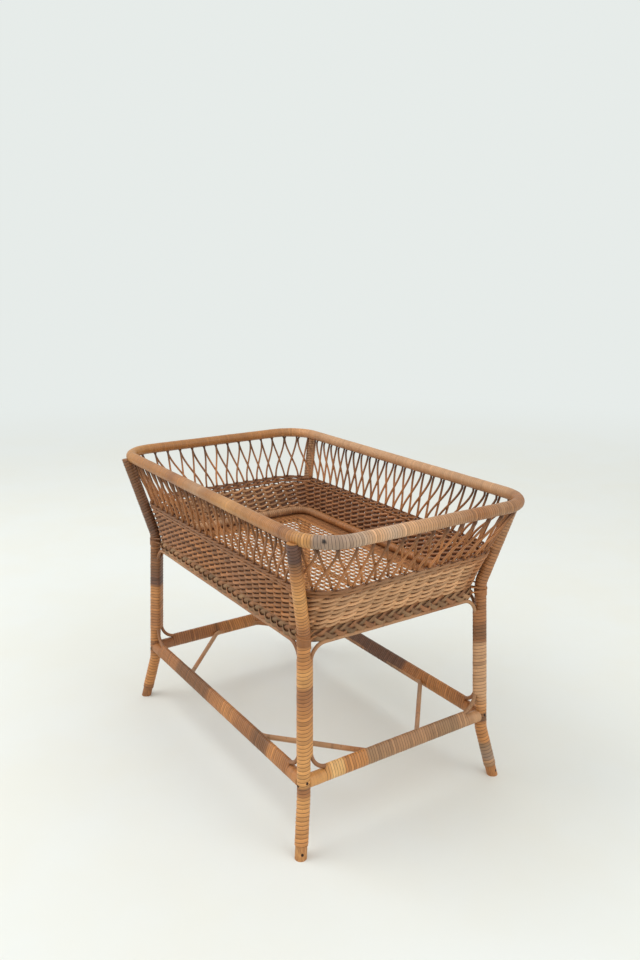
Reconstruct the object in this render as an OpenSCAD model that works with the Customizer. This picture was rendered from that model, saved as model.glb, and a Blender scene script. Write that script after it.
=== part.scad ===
// Rattan laundry basket on legs: a round-cornered basket with a wrapped rim hoop,
// an open lattice of looped reeds over a close woven band, carried by four bent
// pole legs with wrapped stretchers, bent side rods and corner braces.
// Units are millimetres. The origin is on the floor below the centre, +Z is up,
// X runs along the basket and the front is -Y.

/* [Rim] */
// Length over the wrapped rim hoop
rim_length = 999; // [900:1:1120]
// Width over the wrapped rim hoop
rim_width = 597; // [540:1:680]
// Corner radius of the rim hoop's centre line
rim_corner_r = 88; // [80:1:105]
// Height of the rim hoop's centre line above the floor
rim_z = 630; // [610:1:700]
// Diameter of the rim pole
rim_pole_d = 23.2; // [20:0.1:26]

/* [Legs] */
// Distance between the upright leg axes along the basket
leg_spread_x = 734; // [700:1:760]
// Distance between the upright leg axes across the basket
leg_spread_y = 472; // [450:1:490]
// Diameter of a leg pole
leg_pole_d = 24.2; // [20:0.1:27]
// Height of the knee above the underside of the basket
knee_rise = 28; // [24:1:40]
// Bend radius of a leg pole
leg_bend_r = 60; // [45:1:80]
// Outward splay of a foot along each axis
foot_splay = 18; // [6:1:30]
// Drop from the stretchers to the lower bend
ankle_drop = 27; // [25:1:45]
// Where a leg meets the rim corner, as an angle from the long axis
leg_top_angle = 78; // [70:1:82]
// Offset of a leg's top outside the rim's centre line
leg_top_out = 9.6; // [8:0.1:12]
// Length of bare pole left below the binding at a foot
foot_bare = 22; // [10:1:35]

/* [Stretchers] */
// Height of the stretcher axes above the floor
stretcher_z = 131; // [115:1:170]
// Diameter of a stretcher pole
stretcher_pole_d = 22.4; // [18:0.1:25]

/* [Side rods] */
// Diameter of the bent rods that frame each side
rod_d = 8.4; // [6:0.1:10]
// Bend radius where a lower bow turns onto its stretcher
bow_bend_r = 42; // [30:1:60]
// Bend radius where an upper arch turns under the basket
arch_bend_r = 34; // [25:1:50]
// Diameter of a corner brace rod
brace_d = 8; // [6:0.1:10]
// Distance from the middle where a brace meets a long stretcher
brace_x = 175; // [130:1:220]
// Distance from the middle where a brace meets a short stretcher
brace_y = 62; // [50:1:100]
// Bend radius of a brace rod
brace_bend_r = 30; // [20:1:45]

/* [Cane binding] */
// Thickness of the cane binding on poles and rods
wrap_t = 1.4; // [1:0.1:2]
// Strand diameter of the lashing at each knee
lashing_d = 2.6; // [2:0.1:3]
// Turns of the lashing at each knee
lashing_turns = 4; // [2:1:5]

/* [Basket base] */
// Height of the underside of the plaited border
base_z = 400; // [370:1:430]
// Height of the plaited border
border_h = 22; // [16:1:28]
// Thickness of the plaited border
border_t = 11; // [9:0.5:13]
// Corner radius of the border's centre line
base_corner_r = 50; // [40:1:60]
// Inset of the border's centre line from the leg axes
border_inset = 5; // [4:0.5:8]
// Thickness of the woven bottom
mat_t = 7; // [5:0.5:9]
// Distance between the openings of the bottom along the basket
mat_step_x = 20; // [18:0.5:30]
// Distance between the openings of the bottom across the basket
mat_step_y = 14; // [12:0.5:20]
// Width of the strands left between two openings of the bottom
mat_strand = 5.6; // [4:0.1:7]
// Width of the close weave round the openings of the bottom
mat_edge = 44; // [36:1:60]
// Diameter of the pole in the ring around the bottom
ring_pole_d = 17; // [14:0.1:25]

/* [Woven band] */
// Length over the top of the woven band
band_length = 851; // [810:1:880]
// Width over the top of the woven band
band_width = 509; // [490:1:520]
// Corner radius of the wall's centre line at the top of the band
band_corner_r = 80; // [70:1:95]
// Height of the woven band
band_h = 87; // [70:1:100]
// Thickness of the woven wall
band_t = 11; // [9:0.5:12]
// Rows of weaving in the band
band_rows = 7; // [6:1:12]
// How far a stroke of the weave stands out from the hollows round it
row_relief = 3.6; // [0.5:0.1:4]
// Height of the twined edging on the band
waling_h = 6; // [4:0.5:8]
// Thickness of the twined edging
waling_t = 10; // [9:0.5:12]

/* [Lattice] */
// Diameter of a lattice reed
reed_d = 4.8; // [3.5:0.1:5]
// Distance between neighbouring loops under the rim
loop_pitch = 38; // [32:0.5:46]
// Inset of the loops from the rim's centre line
loop_inset = 11.5; // [9:0.5:12.5]

/* [Nails] */
// Shank diameter of a nail
nail_d = 2.4; // [1.6:0.1:3]
// Head diameter of a nail
nail_head_d = 5.4; // [4:0.1:7]
// Length of a stretcher nail
nail_length = 52; // [45:1:70]

/* [Hidden] */

$fn = 48;

// Clearances: a binding on its pole, a piece on its seat. A straight run of a bent bar
// is thinner by the share slip and enters its bend by lap, so that the bar is one solid.
fit = 0.1;
seat = 0.3;
slip = 0.018;
lap = 0.8;

// Round sizes worked out from the driving values
rim_r = rim_pole_d / 2;
rim_or = rim_r + fit + wrap_t;
rim_a = rim_length / 2 - rim_or;
rim_b = rim_width / 2 - rim_or;
leg_r = leg_pole_d / 2;
leg_or = leg_r + fit + wrap_t;
leg_x = leg_spread_x / 2;
leg_y = leg_spread_y / 2;
str_r = stretcher_pole_d / 2;
str_or = str_r + fit + wrap_t;
rod_r = rod_d / 2;
brace_r = brace_d / 2;
reed_r = reed_d / 2;
nail_r = nail_d / 2;

// Leg: knee, top on the outer underside of the rim corner, and foot
knee_z = base_z + knee_rise;
top_x = rim_a - rim_corner_r + (rim_corner_r + leg_top_out) * cos(leg_top_angle);
top_y = rim_b - rim_corner_r + (rim_corner_r + leg_top_out) * sin(leg_top_angle);
top_z = rim_z - rim_or + 2;
leg_cut_z = rim_z - rim_or * 0.45;
lean_az = atan2(top_y - leg_y, top_x - leg_x);
lean_run = norm([top_x - leg_x, top_y - leg_y]);
lean = atan2(lean_run, top_z - knee_z);
ankle_z = stretcher_z - ankle_drop;
splay = atan2(foot_splay * sqrt(2), ankle_z);
knee_tan = leg_bend_r * tan(lean / 2);
ankle_tan = leg_bend_r * tan(splay / 2);

// Rods beside the poles: distances from pole axis to rod axis
leg_rod = leg_r + fit + rod_r;
bow_rise = str_r + fit + rod_r;
brace_in = str_r + fit + brace_r;
bow_z = stretcher_z + bow_rise;
arch_z = base_z - seat - rod_r;
rods_meet_z = (bow_z + arch_z) / 2;
rod_gap = 1;

// Extents of the thick part of the bindings, where rods are bound in
leg_wrap_low = bow_z + bow_bend_r - 6;
leg_wrap_high = arch_z - arch_bend_r + 5;
str_wrap_long = leg_x - leg_rod - bow_bend_r + 6;
str_wrap_short = leg_y - leg_rod - bow_bend_r + 6;

// Basket outlines as [half length, half width, corner radius] of the centre line
border_top = base_z + border_h;
band_z0 = border_top + seat;
band_z1 = band_z0 + band_h;
waling_z = band_z1 + seat + waling_h / 2;
border_line = [leg_x - border_inset, leg_y - border_inset, base_corner_r];
wall_low = [border_line[0] - 0.5, border_line[1] - 0.5, base_corner_r];
wall_high = [band_length / 2 - band_t / 2, band_width / 2 - band_t / 2, band_corner_r];
ring_r = ring_pole_d / 2;
ring_or = ring_r + fit + wrap_t;
ring_z = border_top + seat + ring_or;
mat_z = border_top - mat_t;

// Loops: centre line of a loop's crown under the inner side of the rim
crown_drop = sqrt(pow(rim_or + reed_r + seat, 2) - pow(loop_inset, 2));
crown_z = rim_z - crown_drop;
crown_line = [rim_a - loop_inset, rim_b - loop_inset, rim_corner_r - loop_inset];
reed_foot_z = band_z1 + seat + waling_h + seat;
pair_gap = reed_d + 2.4;
layer_gap = reed_d + 0.7;
loop_ease = 1.2;

function lerp(p, q, k) = p + (q - p) * k;

// A round-cornered outline is o = [a, b, r]: half length, half width, corner radius.
// Quadrants count from (+X, +Y) anticlockwise.
function corner_mid(o, q) = [(q == 0 || q == 3 ? 1 : -1) * (o[0] - o[2]),
    (q < 2 ? 1 : -1) * (o[1] - o[2])];
function corner_point(o, q, t, z) = let (m = corner_mid(o, q))
    [m[0] + o[2] * cos(90 * q + t), m[1] + o[2] * sin(90 * q + t), z];

// A quarter of the rim's outline runs from the middle of +X to the middle of +Y
function quarter(o) = o[0] + o[1] - 2 * o[2] + o[2] * PI / 2;
// The point of outline o that stands below or above the point at distance s along the
// loops' own outline: the same share of a straight side, or the same angle of a corner
function quarter_point(o, s) = let (m = crown_line, e = m[1] - m[2], c = m[2] * PI / 2)
    s < e ? [o[0], (o[1] - o[2]) * s / e]
    : s < e + c ? let (t = 90 * (s - e) / c)
        [o[0] - o[2] + o[2] * cos(t), o[1] - o[2] + o[2] * sin(t)]
    : [(o[0] - o[2]) * (1 - (s - e - c) / (m[0] - m[2])), o[1]];
// Point i of a whole outline that is cut into equal steps, n to a quarter
function ring_point(o, i, n, z) = let (j = (i + 4 * n) % (4 * n), q = floor(j / n),
        f = (j % n) / n, p = quarter_point(o, quarter(crown_line) * (q % 2 == 0 ? f : 1 - f)))
    [(q == 0 || q == 3 ? 1 : -1) * p[0], (q < 2 ? 1 : -1) * p[1], z];

// Quadrant placement: pieces are drawn at (+X, +Y) and mirrored
module quadrant(right, rear)
    mirror([right ? 0 : 1, 0, 0]) mirror([0, rear ? 0 : 1, 0]) children();

// A round bar from p to q, a little longer at each end and a little thinner than r,
// turned so that its seam line lies beside the plane of the bend that it meets
module bar(p, q, r) {
    d = q - p;
    u = d / norm(d);
    translate(p - lap * u) rotate([0, acos(u[2]), atan2(u[1], u[0])]) rotate(135)
        cylinder(h = norm(d) + 2 * lap, r = r * (1 - slip));
}

// A bend in an upright plane: it starts at p going up (or down) and leans towards az
module upright_bend(p, az, turn, bend, r, up = 1)
    translate(p + bend * [cos(az), sin(az), 0]) rotate([0, 0, az + 180]) rotate([90 * up, 0, 0])
        rotate_extrude(angle = turn) translate([bend, 0]) circle(r);

// A hoop with straight sides and round corners, with the section given as children
module hoop(o, z) translate([0, 0, z]) {
    for (s = [0, 1]) mirror([0, s, 0]) translate([-(o[0] - o[2]), o[1], 0])
        rotate([90, 0, 90]) linear_extrude(2 * (o[0] - o[2])) children();
    for (s = [0, 1]) mirror([s, 0, 0]) translate([o[0], o[1] - o[2], 0])
        rotate([90, 0, 0]) linear_extrude(2 * (o[1] - o[2])) children();
    for (q = [0:3]) translate(concat(corner_mid(o, q), 0)) rotate(90 * q)
        rotate_extrude(angle = 90) translate([o[2], 0]) children();
}

// A flat section with round edges
module soft_section(w, h) {
    e = min(w, h) / 3;
    square([w - 2 * e, h], center = true);
    square([w, h - 2 * e], center = true);
    for (x = [-1, 1], y = [-1, 1]) translate([x * (w / 2 - e), y * (h / 2 - e)]) circle(e);
}

// The band that a strip makes when drawn tight round two or three round bars.
// Each bar is [x, y, radius]. The flat stretch between two bars is thinner by slip.
module tight_pair(c, d) {
    g = atan2(d[1] - c[1], d[0] - c[0]);
    b = acos((c[2] - d[2]) / norm([d[0] - c[0], d[1] - c[1]]));
    k = 1 - slip;
    polygon([
        [c[0] + k * c[2] * cos(g + b), c[1] + k * c[2] * sin(g + b)],
        [c[0] + k * c[2] * cos(g - b), c[1] + k * c[2] * sin(g - b)],
        [d[0] + k * d[2] * cos(g - b), d[1] + k * d[2] * sin(g - b)],
        [d[0] + k * d[2] * cos(g + b), d[1] + k * d[2] * sin(g + b)]
    ]);
}
module tight_section(bars) {
    for (c = bars) translate([c[0], c[1]]) circle(c[2]);
    for (i = [0:len(bars) - 1], j = [0:len(bars) - 1]) if (i < j) tight_pair(bars[i], bars[j]);
    if (len(bars) == 3) polygon([for (c = bars) [c[0], c[1]]]);
}

// ---- Rim ----

module rim_solid(r) hoop([rim_a, rim_b, rim_corner_r], rim_z) circle(r);

module rim_pole() color([0.72, 0.55, 0.36]) difference() {
    rim_solid(rim_r);
    rim_nail_set(fit);
}

module rim_binding() color([0.84, 0.66, 0.43]) difference() {
    hoop([rim_a, rim_b, rim_corner_r], rim_z) difference() {
        circle(rim_or);
        circle(rim_r + fit);
    }
    rim_nail_set(fit);
}

// ---- Legs ----

// The bent bar of one leg with radius r, from the floor to the rim
module leg_bar(r) {
    knee = [leg_x, leg_y, knee_z];
    lean_dir = [sin(lean) * cos(lean_az), sin(lean) * sin(lean_az), cos(lean)];
    ankle = [leg_x, leg_y, ankle_z];
    splay_dir = [sin(splay) * cos(45), sin(splay) * sin(45), -cos(splay)];
    bar(ankle + [0, 0, ankle_tan], knee - [0, 0, knee_tan], r);
    upright_bend([leg_x, leg_y, knee_z - knee_tan], lean_az, lean, leg_bend_r, r);
    bar(knee + knee_tan * lean_dir, knee + ((rim_z - knee_z) / cos(lean)) * lean_dir, r);
    upright_bend([leg_x, leg_y, ankle_z + ankle_tan], 45, splay, leg_bend_r, r, -1);
    bar(ankle + ankle_tan * splay_dir, ankle + ((ankle_z + 20) / cos(splay)) * splay_dir, r);
}

// What trims a leg: the floor, the level below the rim's side and the rim itself
module leg_trim() {
    translate([0, 0, -ankle_z]) cube([rim_length, rim_width, ankle_z]);
    translate([leg_x / 2, leg_y / 2, leg_cut_z]) cube([leg_x, leg_x, leg_x]);
    rim_solid(rim_or + fit);
}

module leg_pole() difference() {
    leg_bar(leg_r);
    leg_trim();
    quadrant_nails(fit);
}

// The thick part of a leg's binding goes round the pole and the two side rods
module leg_binding() difference() {
    union() {
        leg_bar(leg_or);
        translate([leg_x, leg_y, leg_wrap_low]) linear_extrude(leg_wrap_high - leg_wrap_low)
            tight_section([[0, 0, leg_or + 0.2], [-leg_rod, 0, rod_r + wrap_t],
                [0, -leg_rod, rod_r + wrap_t]]);
    }
    leg_bar(leg_r + fit);
    leg_trim();
    translate([0, 0, -foot_bare]) cube([rim_length, rim_width, 2 * foot_bare]);
    side_rods(fit);
    quadrant_nails(fit);
}

module leg_pole_at(right, rear) color([0.66, 0.42, 0.22]) quadrant(right, rear) leg_pole();
module leg_binding_at(right, rear) color([0.76, 0.5, 0.26]) quadrant(right, rear) leg_binding();

// ---- Stretchers ----

// What the ends of the stretchers stand clear of: the bound leg and, at its inner side,
// the mitre against the other stretcher, whose side is 1 for a long one and -1 for a short
module leg_clear(side) all_quadrants() translate([leg_x, leg_y, stretcher_z - 40]) {
    cylinder(h = 80, r = leg_or + fit);
    rotate(45) translate([-40, side * (seat / 2 - 30) - 30, 0]) cube([80, 60, 80]);
}

module stretcher_pole_long() difference() {
    translate([-leg_x, leg_y, stretcher_z]) rotate([0, 90, 0])
        cylinder(h = leg_spread_x, r = str_r);
    leg_clear(1);
    stretcher_nail_set(fit);
}

module stretcher_pole_short() difference() {
    translate([leg_x, -leg_y, stretcher_z]) rotate([-90, 0, 0])
        cylinder(h = leg_spread_y, r = str_r);
    leg_clear(-1);
    stretcher_nail_set(fit);
}

// Binding of a stretcher of half length h along +X, drawn at the origin with the
// bow rod above it and the brace rods on its -Y side up to the distance reach
module stretcher_wrap(h, thick, reach) {
    bow = [0, bow_rise, rod_r + wrap_t];
    rotate([90, 0, 90]) {
        translate([0, 0, -h]) linear_extrude(2 * h) circle(str_or);
        translate([0, 0, -thick]) linear_extrude(2 * thick)
            tight_section([[0, 0, str_or + 0.2], bow]);
        translate([0, 0, -reach]) linear_extrude(2 * reach)
            tight_section([[0, 0, str_or + 0.3], [0, bow_rise, rod_r + wrap_t + 0.1],
                [-brace_in, 0, brace_r + wrap_t]]);
    }
}

module stretcher_binding_long() difference() {
    translate([0, leg_y, stretcher_z])
        stretcher_wrap(leg_x, str_wrap_long, brace_x - brace_tan_q + 5);
    translate([-leg_x, leg_y, stretcher_z]) rotate([0, 90, 0])
        cylinder(h = leg_spread_x, r = str_r + fit);
    leg_clear(1);
    bow_long(fit);
    for (s = [0, 1]) mirror([s, 0, 0]) brace(fit);
}

module stretcher_binding_short() difference() {
    translate([leg_x, 0, stretcher_z]) mirror([1, -1, 0])
        stretcher_wrap(leg_y, str_wrap_short, brace_y - brace_tan_p + 5);
    translate([leg_x, -leg_y, stretcher_z]) rotate([-90, 0, 0])
        cylinder(h = leg_spread_y, r = str_r + fit);
    leg_clear(-1);
    bow_short(fit);
    for (s = [0, 1]) mirror([0, s, 0]) brace(fit);
}

// ---- Side rods ----

// Half of a bent side rod in the XZ plane: it lies level at z = 0 and turns up at +X
module rod_half(w, rise, bend, grow) {
    rotate([0, 90, 0]) cylinder(h = w - bend, r = rod_r + grow);
    translate([w - bend, 0, bend]) rotate([90, 0, 0]) rotate(-90)
        rotate_extrude(angle = 90) translate([bend, 0]) circle(rod_r + grow);
    translate([w, 0, bend]) cylinder(h = rise - bend, r = rod_r + grow);
}
module rod_u(w, rise, bend, grow) for (s = [0, 1]) mirror([s, 0, 0])
    rod_half(w, rise, bend, grow);

bow_leg = rods_meet_z - rod_gap / 2 - bow_z;
arch_leg = arch_z - rods_meet_z - rod_gap / 2;

module bow_long(grow = 0) translate([0, leg_y, bow_z])
    rod_u(leg_x - leg_rod, bow_leg, bow_bend_r, grow);
module bow_short(grow = 0) translate([leg_x, 0, bow_z]) rotate(90)
    rod_u(leg_y - leg_rod, bow_leg, bow_bend_r, grow);
module arch_long(grow = 0) translate([0, leg_y, arch_z]) mirror([0, 0, 1])
    rod_u(leg_x - leg_rod, arch_leg, arch_bend_r, grow);
module arch_short(grow = 0) translate([leg_x, 0, arch_z]) mirror([0, 0, 1]) rotate(90)
    rod_u(leg_y - leg_rod, arch_leg, arch_bend_r, grow);

module side_rods(grow) {
    bow_long(grow);
    bow_short(grow);
    arch_long(grow);
    arch_short(grow);
}

// Corner brace: along the short stretcher, across the corner, along the long one
brace_p = [leg_x - brace_in, brace_y];
brace_q = [brace_x, leg_y - brace_in];
brace_dir = atan2(brace_q[1] - brace_p[1], brace_q[0] - brace_p[0]);
brace_turn_p = brace_dir - 90;
brace_turn_q = 180 - brace_dir;
brace_tan_p = brace_bend_r * tan(brace_turn_p / 2);
brace_tan_q = brace_bend_r * tan(brace_turn_q / 2);

module brace(grow = 0) translate([0, 0, stretcher_z]) {
    r = brace_r + grow;
    u = [cos(brace_dir), sin(brace_dir)];
    bar([brace_p[0], rod_gap + lap, 0], [brace_p[0], brace_p[1] - brace_tan_p, 0], r);
    translate([brace_p[0] - brace_bend_r, brace_p[1] - brace_tan_p, 0])
        rotate_extrude(angle = brace_turn_p) translate([brace_bend_r, 0]) circle(r);
    bar(concat(brace_p + brace_tan_p * u, 0), concat(brace_q - brace_tan_q * u, 0), r);
    translate([brace_q[0] - brace_tan_q, brace_q[1] - brace_bend_r, 0])
        rotate(brace_dir - 90) rotate_extrude(angle = brace_turn_q)
            translate([brace_bend_r, 0]) circle(r);
    bar([rod_gap + lap, brace_q[1], 0], [brace_q[0] - brace_tan_q, brace_q[1], 0], r);
}

// ---- Lashings at the knees ----

// One unbroken strand wound round the leg just below the knee
lash_r = leg_or + fit + seat + lashing_d / 2;
lash_pitch = lashing_d + 0.5;
lash_z = base_z + 2 + lashing_d / 2;
lash_steps = 24;
lash_path = [for (i = [0:lashing_turns * lash_steps])
    let (t = 360 * i / lash_steps)
    [lash_r * cos(t), lash_r * sin(t), lash_z + lash_pitch * i / lash_steps]];
lash_least = min([for (i = [0:len(lash_path) - 1 - lash_steps])
    norm(lash_path[i + lash_steps] - lash_path[i])]) - lashing_d;
echo(str("least gap of a lashing to itself: ", lash_least));

// Sweep of a small six-sided section along a winding path
module wound(path, r, sides = 6) {
    n = len(path);
    rings = [for (i = [0:n - 1])
        let (a = path[max(i - 1, 0)], b = path[min(i + 1, n - 1)],
            t = (b - a) / norm(b - a),
            e = cross(t, [0, 0, 1]) / norm(cross(t, [0, 0, 1])), f = cross(e, t))
        for (s = [0:sides - 1]) path[i] + r * (cos(360 * s / sides) * e + sin(360 * s / sides) * f)];
    polyhedron(rings, concat(
        [for (s = [1:sides - 2]) [0, s, s + 1]],
        [for (s = [1:sides - 2]) [(n - 1) * sides, (n - 1) * sides + s + 1, (n - 1) * sides + s]],
        [for (i = [0:n - 2], s = [0:sides - 1]) let (p = i * sides + s,
            q = i * sides + (s + 1) % sides) [p, p + sides, q]],
        [for (i = [0:n - 2], s = [0:sides - 1]) let (p = i * sides + s,
            q = i * sides + (s + 1) % sides) [q, p + sides, q + sides]]
    ));
}

module knee_lashing(right, rear) color([0.5, 0.33, 0.2])
    translate([(right ? 1 : -1) * leg_x, (rear ? 1 : -1) * leg_y, 0])
        rotate(right ? (rear ? 225 : 135) : (rear ? 315 : 45)) wound(lash_path, lashing_d / 2);

// ---- Basket base ----

module plaited_border() color([0.5, 0.42, 0.33])
    hoop(border_line, base_z + border_h / 2) soft_section(border_t, border_h);

// The bottom is woven close along its edge and open within it
mat_gap = border_t / 2 + seat;
mat_line = [border_line[0] - mat_gap, border_line[1] - mat_gap, base_corner_r - mat_gap];
mat_count_x = floor(2 * (mat_line[0] - mat_edge) / mat_step_x);
mat_count_y = floor(2 * (mat_line[1] - mat_edge) / mat_step_y);

module woven_bottom() color([0.62, 0.45, 0.28]) {
    o = mat_line;
    translate([0, 0, mat_z]) linear_extrude(mat_t) difference() {
        union() {
            square([2 * o[0], 2 * (o[1] - o[2])], center = true);
            square([2 * (o[0] - o[2]), 2 * o[1]], center = true);
            for (q = [0:3]) translate(corner_mid(o, q)) circle(o[2]);
        }
        for (i = [0:mat_count_x - 1], j = [0:mat_count_y - 1])
            translate([(i - (mat_count_x - 1) / 2) * mat_step_x,
                (j - (mat_count_y - 1) / 2) * mat_step_y])
                square([mat_step_x - mat_strand, mat_step_y - mat_strand], center = true);
    }
}

// The ring stands just inside the leaning wall, so its line follows the wall's foot
ring_in = band_t / 2 + ring_or + seat
    - (wall_high[0] - wall_low[0]) / band_h * (ring_z - band_z0) * 0.2;
ring_line = [wall_low[0] - ring_in, wall_low[1] - ring_in, base_corner_r - 6];

module base_ring_pole() color([0.52, 0.3, 0.16]) hoop(ring_line, ring_z) circle(ring_r);
module base_ring_binding() color([0.6, 0.35, 0.2]) hoop(ring_line, ring_z) difference() {
    circle(ring_or);
    circle(ring_r + fit);
}

// ---- Woven band ----

// Wall between two outlines. A stroke of the weave stands out over every pair of reeds,
// inside and out, and the wall is thin between two rows and thinner beside the strokes.
wall_half = band_t / 2 - row_relief;
beside_stroke = 0.3;
function wall_ring(k, deep, side) = let (z = lerp(band_z0, band_z1, k), n = 2 * loops_q)
    [for (j = [0:4 * n - 1]) let (off = side * (wall_half
            + row_relief * deep * (j % 2 == 0 ? 1 : beside_stroke)),
            o = [for (i = [0:2]) lerp(wall_low[i], wall_high[i], k) + off])
        ring_point(o, j, n, z)];
wall_levels = [for (i = [0:2 * band_rows]) [i / (2 * band_rows), i % 2]];

module woven_band() color([0.78, 0.52, 0.3]) {
    m = 8 * loops_q;
    n = len(wall_levels);
    outer = [for (l = wall_levels) each wall_ring(l[0], l[1], 1)];
    inner = [for (l = wall_levels) each wall_ring(l[0], l[1], -1)];
    k = n * m;
    e = (n - 1) * m;
    polyhedron(concat(outer, inner), concat(
        [for (i = [0:n - 2], s = [0:m - 1]) let (p = i * m + s, q = i * m + (s + 1) % m)
            each [[p, p + m, q + m], [p, q + m, q]]],
        [for (i = [0:n - 2], s = [0:m - 1]) let (p = k + i * m + s, q = k + i * m + (s + 1) % m)
            each [[q, q + m, p + m], [q, p + m, p]]],
        [for (s = [0:m - 1]) let (t = (s + 1) % m) each [[s, t, k + t], [s, k + t, k + s]]],
        [for (s = [0:m - 1]) let (t = (s + 1) % m)
            each [[e + t, e + s, k + e + s], [e + t, k + e + s, k + e + t]]]
    ));
}

module twined_edging() color([0.44, 0.26, 0.15])
    hoop(wall_high, waling_z) soft_section(waling_t, waling_h);

// ---- Lattice ----

// The reeds are bent into loops. Each starts in the outer layer at the left of its two
// feet, rises across, turns over in a round crown under the rim and comes down across
// itself in the inner layer, so that two reeds share each foot and each touching place.
loops_q = round(quarter(crown_line) / loop_pitch);
corner_first = floor(loops_q * (crown_line[1] - crown_line[2]) / quarter(crown_line));
corner_last = ceil(loops_q * (crown_line[1] - crown_line[2] + crown_line[2] * PI / 2)
    / quarter(crown_line));
touch_share = (loop_pitch / 2 - 2) / (crown_z - reed_foot_z);

module loop(i) {
    crowns = [for (j = [0, 1]) ring_point(crown_line, i + j, loops_q, crown_z)];
    feet = [for (j = [0, 1]) ring_point(wall_high, i + j, loops_q, reed_foot_z)];
    touch = [for (j = [0, 1]) lerp(crowns[j], feet[j], touch_share)];
    chord = norm(touch[1] - touch[0]);
    r = chord / 2 - loop_ease;
    along = (touch[1] - touch[0]) / chord;
    mid = (touch[0] + touch[1]) / 2;
    foot_mid = (feet[0] + feet[1]) / 2;
    rise = mid - foot_mid - ((mid - foot_mid) * along) * along;
    up = rise / norm(rise);
    face = cross(along, up);
    tilt = asin(layer_gap / 2 / r);
    reach = (feet[1] - feet[0]) / 2 * (1 - pair_gap / norm(feet[1] - feet[0]));
    // The outer reed rises to the right and the inner one to the left
    foot = [foot_mid - reach + layer_gap / 2 * face, foot_mid + reach - layer_gap / 2 * face];
    flat = [for (p = foot) [(p - mid) * along, (p - mid) * up]];
    leave = [atan2(flat[0][1], flat[0][0]) + acos(r / norm(flat[0])),
        atan2(flat[1][1], flat[1][0]) - acos(r / norm(flat[1]))];
    multmatrix([for (k = [0:2]) [along[k], up[k], face[k], mid[k]]])
        rotate([0, -tilt, 0]) rotate(leave[0])
            rotate_extrude(angle = leave[1] + 360 - leave[0]) translate([r, 0]) circle(reed_r);
    for (k = [0, 1]) {
        from = mid + r * (cos(leave[k]) * cos(tilt) * along + sin(leave[k]) * up
            + cos(leave[k]) * sin(tilt) * face);
        run = (foot[k] - from) / norm(foot[k] - from);
        bar(from, foot[k] + 5 * run, reed_r - 0.07);
    }
}

module loops(first, last) color([0.58, 0.37, 0.22]) difference() {
    for (i = [first:last]) loop(i);
    translate([-rim_length, -rim_width, reed_foot_z - 40])
        cube([2 * rim_length, 2 * rim_width, 40]);
}

// ---- Nails ----

// A nail with its head at the origin and its shank along -Z. The hole for it has
// the clearance grow and stays open outward from the head.
module nail(length, grow = 0) {
    translate([0, 0, -length]) cylinder(h = length, r = nail_r + grow);
    translate([0, 0, -1.2 - grow]) cylinder(h = grow > 0 ? 14 : 1.2, r = nail_head_d / 2 + grow);
}

nail_step = 3.5;
rim_nail_dip = 50;
lean_in = tan(lean) * cos(leg_top_angle - lean_az);
rim_nail_reach = (leg_top_out + leg_or + lean_in * (rim_z - top_z))
    / (cos(rim_nail_dip) + lean_in * sin(rim_nail_dip));

module stretcher_nail_pair(grow) {
    translate([leg_x + leg_or, leg_y, stretcher_z + nail_step]) rotate([0, 90, 0])
        nail(nail_length, grow);
    translate([leg_x, leg_y + leg_or, stretcher_z - nail_step]) rotate([-90, 0, 0])
        nail(nail_length, grow);
}
module rim_nail(grow) translate([rim_a - rim_corner_r, rim_b - rim_corner_r, rim_z])
    rotate([0, 0, leg_top_angle]) translate([rim_corner_r, 0, 0])
        rotate([0, 90 + rim_nail_dip, 0]) translate([0, 0, rim_nail_reach])
            nail(rim_nail_reach + rim_r * 0.6, grow);
module foot_nail(grow) {
    z = foot_bare / 2;
    out = foot_splay * (1 - z / ankle_z);
    translate([leg_x + out, leg_y + out, z]) rotate([0, 0, 20]) rotate([0, 90, 0])
        translate([0, 0, leg_r]) nail(leg_pole_d * 0.6, grow);
}
module quadrant_nails(grow) {
    stretcher_nail_pair(grow);
    rim_nail(grow);
    foot_nail(grow);
}
module all_quadrants() for (x = [0, 1], y = [0, 1]) mirror([x, 0, 0]) mirror([0, y, 0])
    children();
module stretcher_nail_set(grow) all_quadrants() stretcher_nail_pair(grow);
module rim_nail_set(grow) all_quadrants() rim_nail(grow);

steel = [0.3, 0.28, 0.27];
pole = [0.6, 0.38, 0.2];
cane = [0.7, 0.44, 0.23];
rod = [0.66, 0.46, 0.3];

rim_pole();
rim_binding();
leg_pole_at(true, false);  // leg_pole_front_right
leg_pole_at(true, true);  // leg_pole_rear_right
leg_pole_at(false, true);  // leg_pole_rear_left
leg_pole_at(false, false);  // leg_pole_front_left
leg_binding_at(true, false);  // leg_binding_front_right
leg_binding_at(true, true);  // leg_binding_rear_right
leg_binding_at(false, true);  // leg_binding_rear_left
leg_binding_at(false, false);  // leg_binding_front_left
color(pole) mirror([0, 1, 0]) stretcher_pole_long();  // stretcher_pole_front
color(pole) stretcher_pole_long();  // stretcher_pole_rear
color(pole) mirror([1, 0, 0]) stretcher_pole_short();  // stretcher_pole_left
color(pole) stretcher_pole_short();  // stretcher_pole_right
color(cane) mirror([0, 1, 0]) stretcher_binding_long();  // stretcher_binding_front
color(cane) stretcher_binding_long();  // stretcher_binding_rear
color(cane) mirror([1, 0, 0]) stretcher_binding_short();  // stretcher_binding_left
color(cane) stretcher_binding_short();  // stretcher_binding_right
color(rod) mirror([0, 1, 0]) bow_long();  // bow_front
color(rod) bow_long();  // bow_rear
color(rod) mirror([1, 0, 0]) bow_short();  // bow_left
color(rod) bow_short();  // bow_right
color(rod) mirror([0, 1, 0]) arch_long();  // arch_front
color(rod) arch_long();  // arch_rear
color(rod) mirror([1, 0, 0]) arch_short();  // arch_left
color(rod) arch_short();  // arch_right
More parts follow.
